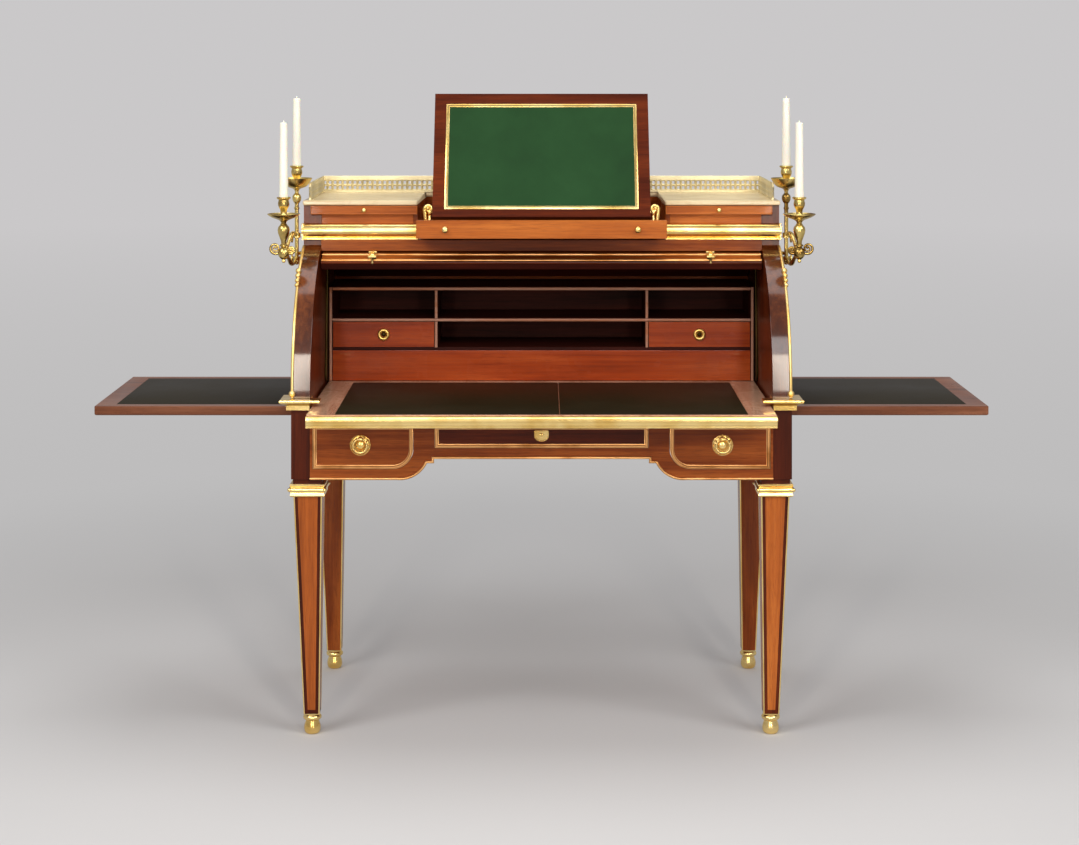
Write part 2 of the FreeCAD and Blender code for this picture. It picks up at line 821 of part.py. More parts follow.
def make_upper_case():
    """Floor and fascia above the cylinder, the bay, two drawers, top boards and gallery."""
    fascia_front = upper_front - fascia_thickness
    fascia_reach = cylinder_radius + trim_proud + inside_gap
    fascia_bottom = axis_height + math.sqrt(fascia_reach ** 2 - (axis_depth - fascia_front) ** 2)
    floor = block(-inner_half, inner_half, upper_front, back_face, upper_floor_bottom, upper_floor_top)
    fascia = block(-inner_half, inner_half, fascia_front, upper_front, fascia_bottom, upper_floor_top)
    save("upper_floor", floor, fascia)

    wall_outer = bay_half + bay_wall
    wall = block(bay_half, wall_outer, upper_front, back_face, upper_floor_top, upper_case_top)
    runner_x = bay_half - bay_play - tray_runner_width
    runner = block(runner_x, bay_half, upper_front, back_face, upper_floor_top, tray_runner_top)
    save("bay_carcase", *pair(wall), *pair(runner))

    shelf_bottom = upper_shelf_top - shelf_thickness
    shelf = block(wall_outer, inner_half, upper_front, back_face, shelf_bottom, upper_shelf_top)
    backing = block(
        wall_outer, inner_half, upper_front, upper_front + backing_thickness, upper_floor_top, shelf_bottom
    )
    save("upper_carcase", *pair(shelf), *pair(backing))

    top = block(
        bay_half, case_half + top_side_proud, upper_front - top_proud, case_depth, upper_case_top, case_top
    )
    bay_rail = block(-bay_half, bay_half, back_face - inside_gap, case_depth, upper_case_top, case_top)
    save("top_boards", *pair(top), bay_rail)

    gallery_half = case_half - gallery_setback
    gallery_back = case_depth - gallery_setback - gallery_thickness
    gallery_top = case_top + gallery_height
    back_run = block(
        -gallery_half, gallery_half, gallery_back, gallery_back + gallery_thickness, case_top, gallery_top
    )
    side_run = block(
        gallery_half - gallery_thickness, gallery_half, upper_front + gallery_setback, gallery_back,
        case_top, gallery_top,
    )
    save("gallery", back_run, *pair(side_run))

    x0 = wall_outer + drawer_fit
    x1 = inner_half - drawer_fit
    z0 = upper_shelf_top + run_gap
    z1 = upper_case_top - drawer_fit
    box_front = upper_front + upper_drawer_front
    lip_front = upper_front - top_proud
    lip_back = upper_front - run_gap
    lip_inner = bay_half + drawer_fit
    lip_outer = inner_half + upper_lip_side
    lip = block(lip_inner, lip_outer, lip_front, lip_back, z0, z1)
    core = block(x0, x1, lip_back, box_front, z0, z1)
    box = open_box(
        x0, x1, box_front, back_face - upper_drawer_back_gap, z0, z1 - play, upper_drawer_wall, drawer_floor
    )
    drawer = lip.fuse([core, box]).removeSplitter()
    knob = turned_forward(
        (lip_inner + lip_outer) / 2, (z0 + z1) / 2,
        shaped(knob_shares, upper_knob_radius, -upper_knob_reach, lip_front),
    )
    for name, turn in (("right", lambda shape: shape), ("left", mirrored)):
        save("upper_drawer_" + name, turn(drawer))
        save("upper_knob_" + name, turn(knob))


def make_tray():
    """The sliding tray with its knobs and brackets, the tilting stand and its prop."""
    front_half = bay_half - bay_play
    board_half = front_half - play
    board_back = back_face - tray_back_gap - tray_pull
    front_top = tray_bottom + tray_front_height
    board = block(-board_half, board_half, tray_front_back, board_back, tray_bottom, tray_board_top)
    front = block(-front_half, front_half, tray_front, tray_front_back, tray_bottom, front_top)
    save("reading_tray", board.fuse(front).removeSplitter())
    knob = turned_forward(
        tray_knob_side, (tray_bottom + front_top) / 2,
        shaped(knob_shares, tray_knob_radius, -tray_knob_reach, tray_front),
    )
    save("tray_knobs", *pair(knob))

    across = FreeCAD.Vector(1, 0, 0)
    plate_x = stand_half + bracket_gap
    near = pivot_depth - bracket_radius
    far = pivot_depth + bracket_radius
    plate = cross_slab(plate_x, plate_x + bracket_thickness, (near, tray_board_top), [
        (far, tray_board_top),
        (far, pivot_height),
        ((pivot_depth, pivot_height + bracket_radius), (near, pivot_height)),
        (near, tray_board_top),
    ])
    pin_start = stand_half - bracket_pin_length
    pin = Part.makeCylinder(
        bracket_pin, plate_x - pin_start, spot(pin_start, pivot_depth, pivot_height), across
    )
    save("stand_brackets", *pair(plate.fuse(pin).removeSplitter()))

    half_thick = stand_thickness / 2
    stand_front = pivot_depth - half_thick
    stand_back = pivot_depth + half_thick
    stand_top = pivot_height + stand_height
    pivot = spot(0, pivot_depth, pivot_height)
    panel = block(-stand_half, stand_half, stand_front, stand_back, pivot_height - stand_heel, stand_top)
    leather_half = stand_half - stand_frame_width
    leather = block(
        -leather_half, leather_half, stand_front, stand_front + leather_thickness,
        pivot_height + stand_low_border, stand_top - stand_frame_width,
    )
    prop_depth = stand_back + prop_standoff
    prop_height = pivot_height + prop_place
    ear_x = prop_width / 2 + play
    ear_reach = prop_standoff
    ear = block(
        ear_x, ear_x + prop_ear, stand_back, prop_depth + ear_reach,
        prop_height - ear_reach, prop_height + ear_reach,
    )
    frame = panel.fuse(pair(ear)).cut(leather)
    hole_length = bracket_pin_length + play
    hole = Part.makeCylinder(
        bracket_pin + pin_fit, hole_length,
        spot(stand_half - hole_length, pivot_depth, pivot_height), across,
    )
    pin_half = ear_x + prop_ear
    ear_hole = Part.makeCylinder(
        prop_pin + pin_fit, pin_half * 2, spot(-pin_half, prop_depth, prop_height), across
    )
    frame = frame.cut(pair(hole) + [ear_hole]).removeSplitter()
    for shape in (frame, leather):
        shape.rotate(pivot, across, -stand_lean)
    save("stand_frame", frame)
    save("stand_leather", leather)

    lean = math.radians(stand_lean)
    reach = half_thick + prop_standoff
    knuckle_depth = pivot_depth + prop_place * math.sin(lean) + reach * math.cos(lean)
    knuckle_z = pivot_height + prop_place * math.cos(lean) - reach * math.sin(lean)
    half_bar = prop_thickness / 2
    bar_length = (knuckle_z - tray_board_top - run_gap - half_bar) / math.cos(math.radians(prop_angle))
    bar_half = prop_width / 2
    bar_end = knuckle_z - bar_length
    bar = block(
        -bar_half, bar_half, knuckle_depth - half_bar, knuckle_depth + half_bar, bar_end, knuckle_z
    )
    toe = Part.makeCylinder(half_bar, prop_width, spot(-bar_half, knuckle_depth, bar_end), across)
    knuckle = Part.makeCylinder(
        prop_pin * 2, prop_width, spot(-bar_half, knuckle_depth, knuckle_z), across
    )
    pin = Part.makeCylinder(prop_pin, pin_half * 2, spot(-pin_half, knuckle_depth, knuckle_z), across)
    prop = bar.fuse([toe, knuckle, pin]).removeSplitter()
    prop.rotate(spot(0, knuckle_depth, knuckle_z), across, prop_angle)
    save("stand_prop", prop)
    print("prop pivot", knuckle_depth + front_y, knuckle_z)


def candle(x, depth, base, height):
    """A tapering candle with its wick."""
    top = base + height
    return turned(x, depth, [
        (0, base),
        (candle_radius, base),
        (candle_radius - candle_taper, top),
        (wick_radius, top + wick_radius),
        (wick_radius, top + wick_height),
        (0, top + wick_height),
    ])


def make_candle_branches():
    """A fixed stem with a candle at each front corner, and a swivelling arm with another."""
    plate_top = branch_high_knuckle - wall_plate_height
    plate_bottom = plate_top - wall_plate_height
    bar_z = (plate_top + plate_bottom) / 2
    foot_top = branch_low_knuckle - run_gap
    stem_top = upper_pan_height + socket_height
    stem = turned(stem_x, stem_depth, [
        (0, stem_foot),
        (knuckle_radius, foot_top),
        (stem_radius, foot_top),
        (stem_radius, stem_knob_height - stem_knob_radius),
        (stem_knob_radius, stem_knob_height),
        (stem_radius, stem_knob_height + stem_knob_radius),
    ] + shaped(holder_shares, pan_radius, socket_height, upper_pan_height) + [(0, stem_top)])
    plate_x = case_half + wall_plate_thickness
    plate = block(
        case_half, plate_x, stem_depth, stem_depth + wall_plate_width, plate_bottom, plate_top
    )
    bar = block(
        plate_x, stem_x, stem_depth, stem_depth + stem_radius, bar_z - stem_radius, bar_z + stem_radius
    )
    save("candle_stems", *pair(stem.fuse([plate, bar]).removeSplitter()))
    save("upper_candles", *pair(candle(stem_x, stem_depth, stem_top, upper_candle_height)))

    body_top = lower_pan_height - body_gap
    body_low = branch_ball_height - branch_ball_radius
    holder_top = lower_pan_height + socket_height
    body = turned(
        lower_candle_x, lower_candle_depth,
        shaped(baluster_shares, body_radius, body_top - body_low, body_low)
        + shaped(holder_shares, pan_radius, socket_height, lower_pan_height) + [(0, holder_top)],
    )
    length = math.hypot(branch_out, branch_reach)
    wall_share = (knuckle_radius + stem_radius) / 2 / length
    ball = spot(lower_candle_x, lower_candle_depth, branch_ball_height)
    pieces = [body]
    for low, sag in ((branch_low_knuckle, branch_sag), (branch_high_knuckle, -branch_sag)):
        middle_z = low + knuckle_height / 2
        foot = spot(stem_x, stem_depth, low)
        pieces.append(Part.makeCylinder(knuckle_radius, knuckle_height, foot))
        start = spot(
            stem_x + branch_out * wall_share, stem_depth - branch_reach * wall_share, middle_z
        )
        middle = (start + ball) / 2 - FreeCAD.Vector(0, 0, sag)
        path = Part.Wire([Part.Arc(start, middle, ball).toShape()])
        ring = Part.Wire([Part.makeCircle(branch_bar_radius, start, path.Edges[0].tangentAt(0))])
        pieces.append(path.makePipeShell([ring], True, False))
    arm = pieces[0].fuse(pieces[1:])
    bore_foot = spot(stem_x, stem_depth, branch_low_knuckle - overrun)
    bore_length = branch_high_knuckle + knuckle_height - branch_low_knuckle + overrun * 2
    arm = arm.cut(Part.makeCylinder(stem_radius + pin_fit, bore_length, bore_foot)).removeSplitter()
    flame = candle(lower_candle_x, lower_candle_depth, holder_top, lower_candle_height)
    for name, turn in (("right", lambda shape: shape), ("left", mirrored)):
        save("candle_arm_" + name, turn(arm))
        save("lower_candle_" + name, turn(flame))


make_legs()
make_frieze()
make_frieze_drawers()
make_leaves()
make_slide()
make_cylinder()
make_uprights()
make_pigeonholes()
make_cornice()
make_upper_case()
make_tray()
make_candle_branches()
print("case front", front_y, "cylinder turn", cylinder_turn, "leaf pull", leaf_pull)
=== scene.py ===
"""A mahogany cylinder desk with gilt mounts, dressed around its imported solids."""

import json
import math
from itertools import product

import bmesh
import bpy
from mathutils import Matrix, Vector

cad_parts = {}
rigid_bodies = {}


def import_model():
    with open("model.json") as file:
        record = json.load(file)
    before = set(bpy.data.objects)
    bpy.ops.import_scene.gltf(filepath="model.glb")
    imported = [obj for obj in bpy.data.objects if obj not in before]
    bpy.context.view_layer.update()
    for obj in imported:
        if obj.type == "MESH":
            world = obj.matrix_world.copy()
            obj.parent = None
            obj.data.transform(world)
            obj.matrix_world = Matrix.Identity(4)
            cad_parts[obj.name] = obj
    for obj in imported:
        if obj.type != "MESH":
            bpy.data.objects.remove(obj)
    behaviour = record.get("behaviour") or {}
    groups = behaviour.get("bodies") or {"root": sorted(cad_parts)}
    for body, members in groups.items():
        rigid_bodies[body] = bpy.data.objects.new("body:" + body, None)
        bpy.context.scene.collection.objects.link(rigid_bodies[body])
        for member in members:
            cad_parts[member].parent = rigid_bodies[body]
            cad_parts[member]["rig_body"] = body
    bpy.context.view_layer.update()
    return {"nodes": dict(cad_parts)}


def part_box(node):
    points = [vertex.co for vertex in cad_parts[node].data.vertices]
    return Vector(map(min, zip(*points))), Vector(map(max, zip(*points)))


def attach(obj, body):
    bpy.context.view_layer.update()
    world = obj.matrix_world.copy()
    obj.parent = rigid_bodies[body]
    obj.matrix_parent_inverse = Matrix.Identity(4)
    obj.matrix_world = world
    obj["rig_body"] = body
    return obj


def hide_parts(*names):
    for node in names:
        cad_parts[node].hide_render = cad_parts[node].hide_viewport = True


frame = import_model()

bl_info = {
    "name": "Cylinder desk",
    "version": (1, 0, 0),
    "blender": (4, 5, 0),
    "location": "View3D > Sidebar > Desk",
    "description": "Dresses a cylinder desk with polished wood, gilt mounts, leather and candles",
    "category": "Object",
}


def linear(red, green, blue):
    """A screen colour of 0 to 255 as the linear colour that a shader takes."""
    shares = [level / 255 for level in (red, green, blue)]
    return tuple(s / 12.92 if s <= 0.04045 else ((s + 0.055) / 1.055) ** 2.4 for s in shares)


def millimetres(title, text, size):
    """A length property, written in millimetres."""
    return bpy.props.FloatProperty(
        name=title, description=text, default=size / 1000, min=0.0, precision=4,
        subtype="DISTANCE", unit="LENGTH",
    )


def colour(title, text, red, green, blue):
    """A colour property, written as a screen colour."""
    return bpy.props.FloatVectorProperty(
        name=title, description=text, default=linear(red, green, blue), min=0.0, max=1.0,
        size=3, subtype="COLOR",
    )


class DeskFinishes(bpy.types.PropertyGroup):
    """Colours of the desk's wood, metal, leather and wax."""

    wood_dark: colour("Dark grain", "Darkest streaks of the polished mahogany", 72, 28, 7)
    wood_main: colour("Main wood", "Body colour of the polished mahogany", 130, 60, 19)
    wood_light: colour("Light figure", "Palest flames of the polished mahogany", 176, 96, 38)
    satin_dark: colour("Pale wood grain", "Streaks of the paler boards", 118, 54, 18)
    satin_main: colour("Pale wood", "Body colour of the legs, the tray and the fascia", 172, 90, 34)
    satin_light: colour("Pale wood figure", "Palest figure of the paler boards", 204, 120, 52)
    # The border colours are paler than the leaves' wood as a painted reflection of the polished
    # border.
    border_dark: colour("Border grain", "Streaks of the pale border of the slide", 146, 98, 72)
    border_main: colour("Border wood", "Body colour of the slide's border", 188, 144, 116)
    border_light: colour("Border figure", "Palest figure of the slide's border", 208, 168, 140)
    leaf_dark: colour("Leaf grain", "Streaks of the leaves' wood", 78, 42, 26)
    leaf_main: colour("Leaf wood", "Body colour of the leaves", 112, 66, 44)
    leaf_light: colour("Leaf figure", "Palest figure of the leaves' wood", 142, 92, 66)
    side_dark: colour("Side grain", "Darkest streaks of the curved sides", 40, 14, 5)
    side_main: colour("Side wood", "Body colour of the curved sides", 76, 33, 10)
    side_light: colour("Side figure", "Palest flames of the curved sides", 122, 64, 26)
    # The dark wood also stands as painted shade on the curved sides' jambs and shoulders and on the
    # cylinder's lip.
    umber_dark: colour("Dark wood grain", "Streaks of the darker boards", 40, 13, 5)
    umber_main: colour("Dark wood", "Body colour of the stand, the posts and the jambs", 80, 28, 9)
    umber_light: colour("Dark wood figure", "Palest figure of the darker boards", 112, 46, 16)
    # These recess colours are painted shade, deep in the pigeonholes and on the hollow under the
    # cylinder's edge.
    recess_dark: colour("Recess grain", "Streaks of the wood deep in the pigeonholes", 22, 8, 5)
    recess_main: colour("Recess wood", "Body colour of the wood deep in the pigeonholes", 54, 16, 8)
    recess_light: colour("Recess figure", "Palest figure deep in the pigeonholes", 76, 26, 14)
    # The shelf edges' pale colour is a painted highlight along their rounded fronts.
    edge_highlight: colour("Shelf edges", "Pale rounded edges of the shelves", 178, 132, 112)
    inner_dark: colour("Inner dark grain", "Darkest streaks inside the desk", 108, 36, 12)
    inner_main: colour("Inner wood", "Body colour of the wood inside", 158, 60, 20)
    inner_light: colour("Inner figure", "Palest figure of the wood inside", 184, 84, 36)
    gilt: colour("Gilding", "Burnished gilt bronze", 248, 218, 146)
    gilt_shade: colour("Gilding shade", "Gilt bronze where it is matt or worn", 234, 194, 110)
    gilt_pale: colour("Pale gilding", "Gilt bronze of the gallery", 232, 220, 180)
    coppery: colour("Coppery gilding", "Gilt bronze of the drawer frames and lines", 226, 172, 112)
    coppery_shade: colour("Coppery shade", "Worn places of the frames and lines", 184, 126, 70)
    aged: colour("Aged bronze", "Gilt bronze of the candle branches", 228, 202, 126)
    aged_shade: colour("Aged bronze shade", "Hollows of the candle branches", 142, 110, 54)
    dark_leather: colour("Writing leather", "Leather on the slide and the leaves", 34, 28, 13)
    green_leather: colour("Stand leather", "Leather on the reading stand", 32, 66, 34)
    # The marble's cream tint is partly a painted reflection of the gilt gallery.
    marble: colour("Marble", "Cream marble of the top", 226, 206, 166)
    marble_vein: colour("Marble veins", "Soft veins in the marble", 206, 182, 138)
    wax: colour("Wax", "Ivory candle wax", 250, 246, 230)
    floor: colour("Floor", "Paper floor of the studio", 206, 205, 205)
    haze_near: colour("Near haze", "Where the floor begins to fade", 188, 187, 187)
    haze_far: colour("Far haze", "What the floor fades into", 202, 200, 201)


class DeskSizes(bpy.types.PropertyGroup):
    """Sizes of the trim that is added to the solids."""

    edge_round: millimetres("Edge rounding", "Softening of the wood's edges", 0.9)
    frame_width: millimetres("Drawer frame", "Width of the gilt frames round the drawers", 9)
    frame_proud: millimetres("Drawer frame rise", "How far the drawer frames stand out", 4.5)
    lattice_pitch: millimetres("Gallery pitch", "Spacing of the gallery's rings", 13)
    lattice_wire: millimetres("Gallery wire", "Half thickness of the gallery's rings", 2.9)
    lens: bpy.props.FloatProperty(
        name="Lens", description="Focal length of the view", default=70.018, unit="CAMERA",
    )
    eye: bpy.props.FloatVectorProperty(
        name="Eye point", description="Where the view is taken from",
        default=(0.0, -5.1355, 1.57), size=3, subtype="TRANSLATION", unit="LENGTH",
    )


class Wire:
    """A shader socket that takes plain arithmetic, and makes the other nodes of its tree."""

    def __init__(self, tree, socket=None):
        self.tree = tree
        self.socket = socket

    def node(self, kind, settings=None, inputs=None, output=0):
        """Add a node, apply its settings, fill or link its sockets and give back one output."""
        made = self.tree.nodes.new(kind)
        for name, value in (settings or {}).items():
            if name == "stops":
                set_stops(made.color_ramp, value)
            else:
                setattr(made, name, value)
        for name, value in (inputs or {}).items():
            if isinstance(value, Wire):
                self.tree.links.new(value.socket, made.inputs[name])
            else:
                made.inputs[name].default_value = value
        return Wire(self.tree, made.outputs[output]) if made.outputs else None

    def sum_of(self, operation, first, second):
        """One step of arithmetic on two values."""
        return self.node("ShaderNodeMath", {"operation": operation}, {0: first, 1: second})

    def __add__(self, other):
        return self.sum_of("ADD", self, other)

    def __radd__(self, other):
        return self.sum_of("ADD", other, self)

    def __sub__(self, other):
        return self.sum_of("SUBTRACT", self, other)

    def __rsub__(self, other):
        return self.sum_of("SUBTRACT", other, self)

    def __mul__(self, other):
        return self.sum_of("MULTIPLY", self, other)

    def __rmul__(self, other):
        return self.sum_of("MULTIPLY", other, self)


def set_stops(ramp, stops):
    """Give a colour ramp these (place, colour or grey) stops."""
    while len(ramp.elements) < len(stops):
        ramp.elements.new(1.0)
    for element, (place, shade) in zip(ramp.elements, stops):
        element.position = place
        element.color = (*shade, 1.0) if hasattr(shade, "__len__") else (shade, shade, shade, 1.0)


def finishes():
    """The colours chosen in the sidebar."""
    return bpy.context.scene.desk_finishes


def sizes():
    """The sizes chosen in the sidebar."""
    return bpy.context.scene.desk_sizes


def opaque(shade):
    """A colour with its alpha."""
    return (*shade, 1.0)


def toned(shade, share):
    """A darker copy of a colour."""
    return [level * share for level in shade]


def new_finish(name):
    """An empty material, the wire that its nodes are made from, and the place on its piece."""
    material = bpy.data.materials.new(name)
    material.use_nodes = True
    material.node_tree.nodes.clear()
    pen = Wire(material.node_tree)
    return material, pen, pen.node("ShaderNodeTexCoord", {}, {}, "Object")


def close_finish(pen, shader):
    """Join a shader to the material's output."""
    pen.node("ShaderNodeOutputMaterial", {}, {"Surface": shader})


def principled(pen, inputs):
    """One surface shader with these inputs."""
    return pen.node("ShaderNodeBsdfPrincipled", {}, inputs)


def noise(pen, place, scale, detail, roughness=0.55, distortion=0.0):
    """Cloudy noise over a piece."""
    return pen.node(
        "ShaderNodeTexNoise", {},
        {"Vector": place, "Scale": scale, "Detail": detail, "Roughness": roughness,
         "Distortion": distortion},
    )


def stretched(pen, place, scale):
    """A place by which a pattern is drawn out along some axes."""
    return pen.node("ShaderNodeMapping", {}, {"Vector": place, "Scale": scale})


def ramp(pen, value, *stops):
    """A colour for each level of a value."""
    return pen.node("ShaderNodeValToRGB", {"stops": stops}, {"Fac": value})


def mask(pen, value, *stops):
    """A ramp of greys, as one number."""
    return pen.node("ShaderNodeSeparateColor", {}, {"Color": ramp(pen, value, *stops)})


def ray(pen, kind):
    """Whether a place is met by this kind of ray."""
    return pen.node("ShaderNodeLightPath", {}, {}, kind)


def blend_colours(pen, share, first, second):
    """Mix two colours by a share."""
    return pen.node(
        "ShaderNodeMix", {"data_type": "RGBA", "blend_type": "MIX"},
        {0: share, 6: first, 7: second}, 2,
    )


def bump(pen, height, distance, strength):
    """Fine relief in a surface."""
    return pen.node(
        "ShaderNodeBump", {}, {"Height": height, "Distance": distance, "Strength": strength}
    )


GRAIN_TURNS = {
    "upright": (0.0, math.pi / 2, 0.0),
    "across": (0.0, 0.0, 0.0),
    "deep": (0.0, 0.0, math.pi / 2),
}
BOARD_SHIFT = {"X": 3.7, "Y": 1.9, "Z": 2.3}
FLAME_SCALE, RIBBON_SCALE, PORE_SCALE = (1.5, 9.0, 9.0), (2.2, 90.0, 90.0), (26.0, 900.0, 900.0)
FLAME_SHARE, PORE_SHARE, PORE_DEPTH = 0.62, 0.45, 0.00006
WEAR_SCALE, WEAR_SHARE = 9.0, 0.14
DULL_SHEEN, POLISH_IOR = 0.1, 1.65


def wood_finish(name, run, dark, main, light, gloss, coat=0.12, polish=0.05):
    """Polished mahogany whose grain runs one way: broad flames, ribbon stripes and fine pores."""
    material, pen, place = new_finish(name)
    board = pen.node("ShaderNodeAttribute", {"attribute_name": "board"}, {}, "Fac")
    shift = pen.node(
        "ShaderNodeCombineXYZ", {}, {axis: board * step for axis, step in BOARD_SHIFT.items()}
    )
    placed = pen.node("ShaderNodeVectorMath", {"operation": "ADD"}, {0: place, 1: shift})
    along = pen.node("ShaderNodeMapping", {}, {"Vector": placed, "Rotation": GRAIN_TURNS[run]})
    flame = noise(pen, stretched(pen, along, FLAME_SCALE), 1.0, 3.0, 0.5, 0.9)
    stripe = noise(pen, stretched(pen, along, RIBBON_SCALE), 1.0, 4.0, 0.6, 0.5)
    fine = noise(pen, stretched(pen, along, PORE_SCALE), 1.0, 2.0, 0.5)
    figure = flame * FLAME_SHARE + stripe * (1 - FLAME_SHARE)
    body = ramp(pen, figure, (0.30, dark), (0.48, main), (0.68, light))
    pores = mask(pen, fine, (0.36, 1.0), (0.46, 0.0)) * PORE_SHARE
    wear = noise(pen, placed, WEAR_SCALE, 3.0)
    close_finish(pen, principled(pen, {
        "Base Color": blend_colours(pen, pores, body, opaque(dark)),
        "Roughness": gloss + wear * WEAR_SHARE + pores * 0.1,
        "Specular IOR Level": DULL_SHEEN,
        "Coat Weight": coat,
        "Coat Roughness": polish,
        "Coat IOR": POLISH_IOR,
        "Normal": bump(pen, 1.0 - pores, PORE_DEPTH, 0.5),
    }))
    return material


PATCH_SCALE, MARK_SCALE, MARK_SHARE, MARK_DEPTH = 14.0, 520.0, 0.06, 0.00003


def gilt_finish(name, bright, shade, rough, chased):
    """Gilt bronze: burnished high places, matt hollows and fine tool marks."""
    material, pen, place = new_finish(name)
    patch = noise(pen, place, PATCH_SCALE, 3.0, 0.5)
    marks = noise(pen, place, MARK_SCALE, 2.0, 0.5)
    body = ramp(pen, patch, (0.36, shade), (0.56, bright))
    specks = mask(pen, marks, (0.30, 1.0), (0.42, 0.0)) * MARK_SHARE
    close_finish(pen, principled(pen, {
        "Base Color": blend_colours(pen, specks, body, opaque(toned(shade, 0.45))),
        "Metallic": 1.0,
        "Roughness": rough + patch * 0.1 + specks * 0.3,
        "Normal": bump(pen, marks, MARK_DEPTH, chased),
    }))
    return material


MOTTLE_SCALE, CREASE_SHARE, PEBBLE_DEPTH = 7.0, 0.35, 0.0003


def leather_finish(name, hide, rough, cell):
    """Polished hide: pebbled grain, soft mottling and rubbed places."""
    material, pen, place = new_finish(name)
    pebble = pen.node(
        "ShaderNodeTexVoronoi", {"feature": "SMOOTH_F1"}, {"Vector": place, "Scale": cell}
    )
    mottle = noise(pen, place, MOTTLE_SCALE, 5.0, 0.6)
    crease = noise(pen, place, cell * 0.35, 3.0, 0.6, 0.4)
    dark = toned(hide, 0.74)
    pale = [min(1.0, level * 1.22 + 0.002) for level in hide]
    body = ramp(pen, mottle, (0.26, dark), (0.5, hide), (0.76, pale))
    close_finish(pen, principled(pen, {
        "Base Color": blend_colours(pen, crease * CREASE_SHARE, body, opaque(dark)),
        "Roughness": rough + mottle * 0.16,
        "Specular IOR Level": DULL_SHEEN,
        "Normal": bump(pen, pebble * 0.6 + crease * 0.4, PEBBLE_DEPTH, 0.5),
    }))
    return material


RUN_SCALE, RUN_DEPTH, WAX_GLOW, WAX_DEPTH = (160.0, 160.0, 9.0), 0.0002, 0.25, 0.004


def wax_finish(name, shade):
    """Ivory wax, a little see-through, with faint runs down its side."""
    material, pen, place = new_finish(name)
    streak = noise(pen, stretched(pen, place, RUN_SCALE), 1.0, 2.0)
    close_finish(pen, principled(pen, {
        "Base Color": ramp(pen, streak, (0.3, toned(shade, 0.9)), (0.6, shade)),
        "Roughness": 0.36 + streak * 0.15,
        "Subsurface Weight": WAX_GLOW,
        "Subsurface Scale": WAX_DEPTH,
        "Normal": bump(pen, streak, RUN_DEPTH, 0.4),
    }))
    return material


VEIN_SCALE, VEIN_SHARE, CLOUD_SCALE, CLOUD_DEPTH = 5.0, 0.55, 11.0, 0.00002


def marble_finish(name, body_shade, vein_shade):
    """Polished marble with soft drifting veins, its cream tint partly a painted reflection of the
    gilt gallery.
    """
    material, pen, place = new_finish(name)
    drift = noise(pen, place, VEIN_SCALE, 6.0, 0.6, 1.8)
    ridge = pen.node("ShaderNodeMath", {"operation": "ABSOLUTE"}, {0: drift - 0.5})
    veins = mask(pen, ridge, (0.0, 1.0), (0.07, 0.0)) * VEIN_SHARE
    cloud = noise(pen, place, CLOUD_SCALE, 4.0)
    body = ramp(pen, cloud, (0.3, toned(body_shade, 0.93)), (0.65, body_shade))
    close_finish(pen, principled(pen, {
        "Base Color": blend_colours(pen, veins, body, opaque(vein_shade)),
        "Roughness": 0.12 + cloud * 0.12,
        "Normal": bump(pen, cloud, CLOUD_DEPTH, 0.3),
    }))
    return material


FADE_START, FADE_END, HAZE_END = 1.3, 3.2, 16.0


def studio_finish(name, shade, near, far):
    """Matt paper that keeps the desk's shadow, and fades into the pale air with distance."""
    material, pen, place = new_finish(name)
    cloud = noise(pen, place, 0.7, 2.0)
    body = ramp(pen, cloud, (0.3, toned(shade, 0.985)), (0.7, shade))
    paper = principled(pen, {"Base Color": body, "Roughness": 0.85 + cloud * 0.1})
    distance = pen.node("ShaderNodeVectorMath", {"operation": "LENGTH"}, {0: place}, "Value")
    fade = pen.node(
        "ShaderNodeMapRange", {"interpolation_type": "SMOOTHSTEP"},
        {"Value": distance, "From Min": FADE_START, "From Max": FADE_END},
    )
    depth = pen.node(
        "ShaderNodeMapRange", {}, {"Value": distance, "From Min": FADE_START, "From Max": HAZE_END}
    )
    haze = pen.node("ShaderNodeEmission", {}, {"Color": ramp(pen, depth, (0.0, near), (1.0, far))})
    shown = fade * (ray(pen, "Is Camera Ray") + ray(pen, "Is Glossy Ray"))
    close_finish(pen, pen.node("ShaderNodeMixShader", {}, {0: shown, 1: paper, 2: haze}))
    return material


# Each wood: the name of its colours, then gloss, coat and polish where they differ from the usual.
WOODS = {
    "mahogany": ("wood", 0.16),
    "satin": ("satin", 0.18),
    "umber": ("umber", 0.24, 0.06),
    "leaf": ("leaf", 0.22),
    "inner": ("inner", 0.2, 0.2),
    # The border wood's pale pinkish tone is a painted reflection of its polish.
    "border": ("border", 0.2, 0.5),
    "side": ("side", 0.2, 0.6, 0.1),
    # The recess wood is painted shade: dark, matt and without polish.
    "recess": ("recess", 0.5, 0.0),
}
# Each gilding: its bright and worn colours with a share of each, then roughness and tool marks.
GILTS = {
    "gilt": ("gilt", 1.0, "gilt_shade", 1.0, 0.19, 0.15),
    "gilt_matt": ("gilt", 1.0, "gilt_shade", 1.0, 0.34, 0.4),
    "gilt_pale": ("gilt_pale", 1.0, "gilt_pale", 0.86, 0.42, 0.4),
    "gilt_line": ("coppery", 1.0, "coppery_shade", 1.0, 0.3, 0.3),
    "gilt_aged": ("aged", 1.0, "aged_shade", 1.0, 0.2, 0.5),
    # gilt_dark is near black: on the cylinder's arms it is painted shade, and it also darkens the
    # middles of the ring pulls.
    "gilt_dark": ("gilt_shade", 0.1, "gilt_shade", 0.05, 0.45, 0.5),
}


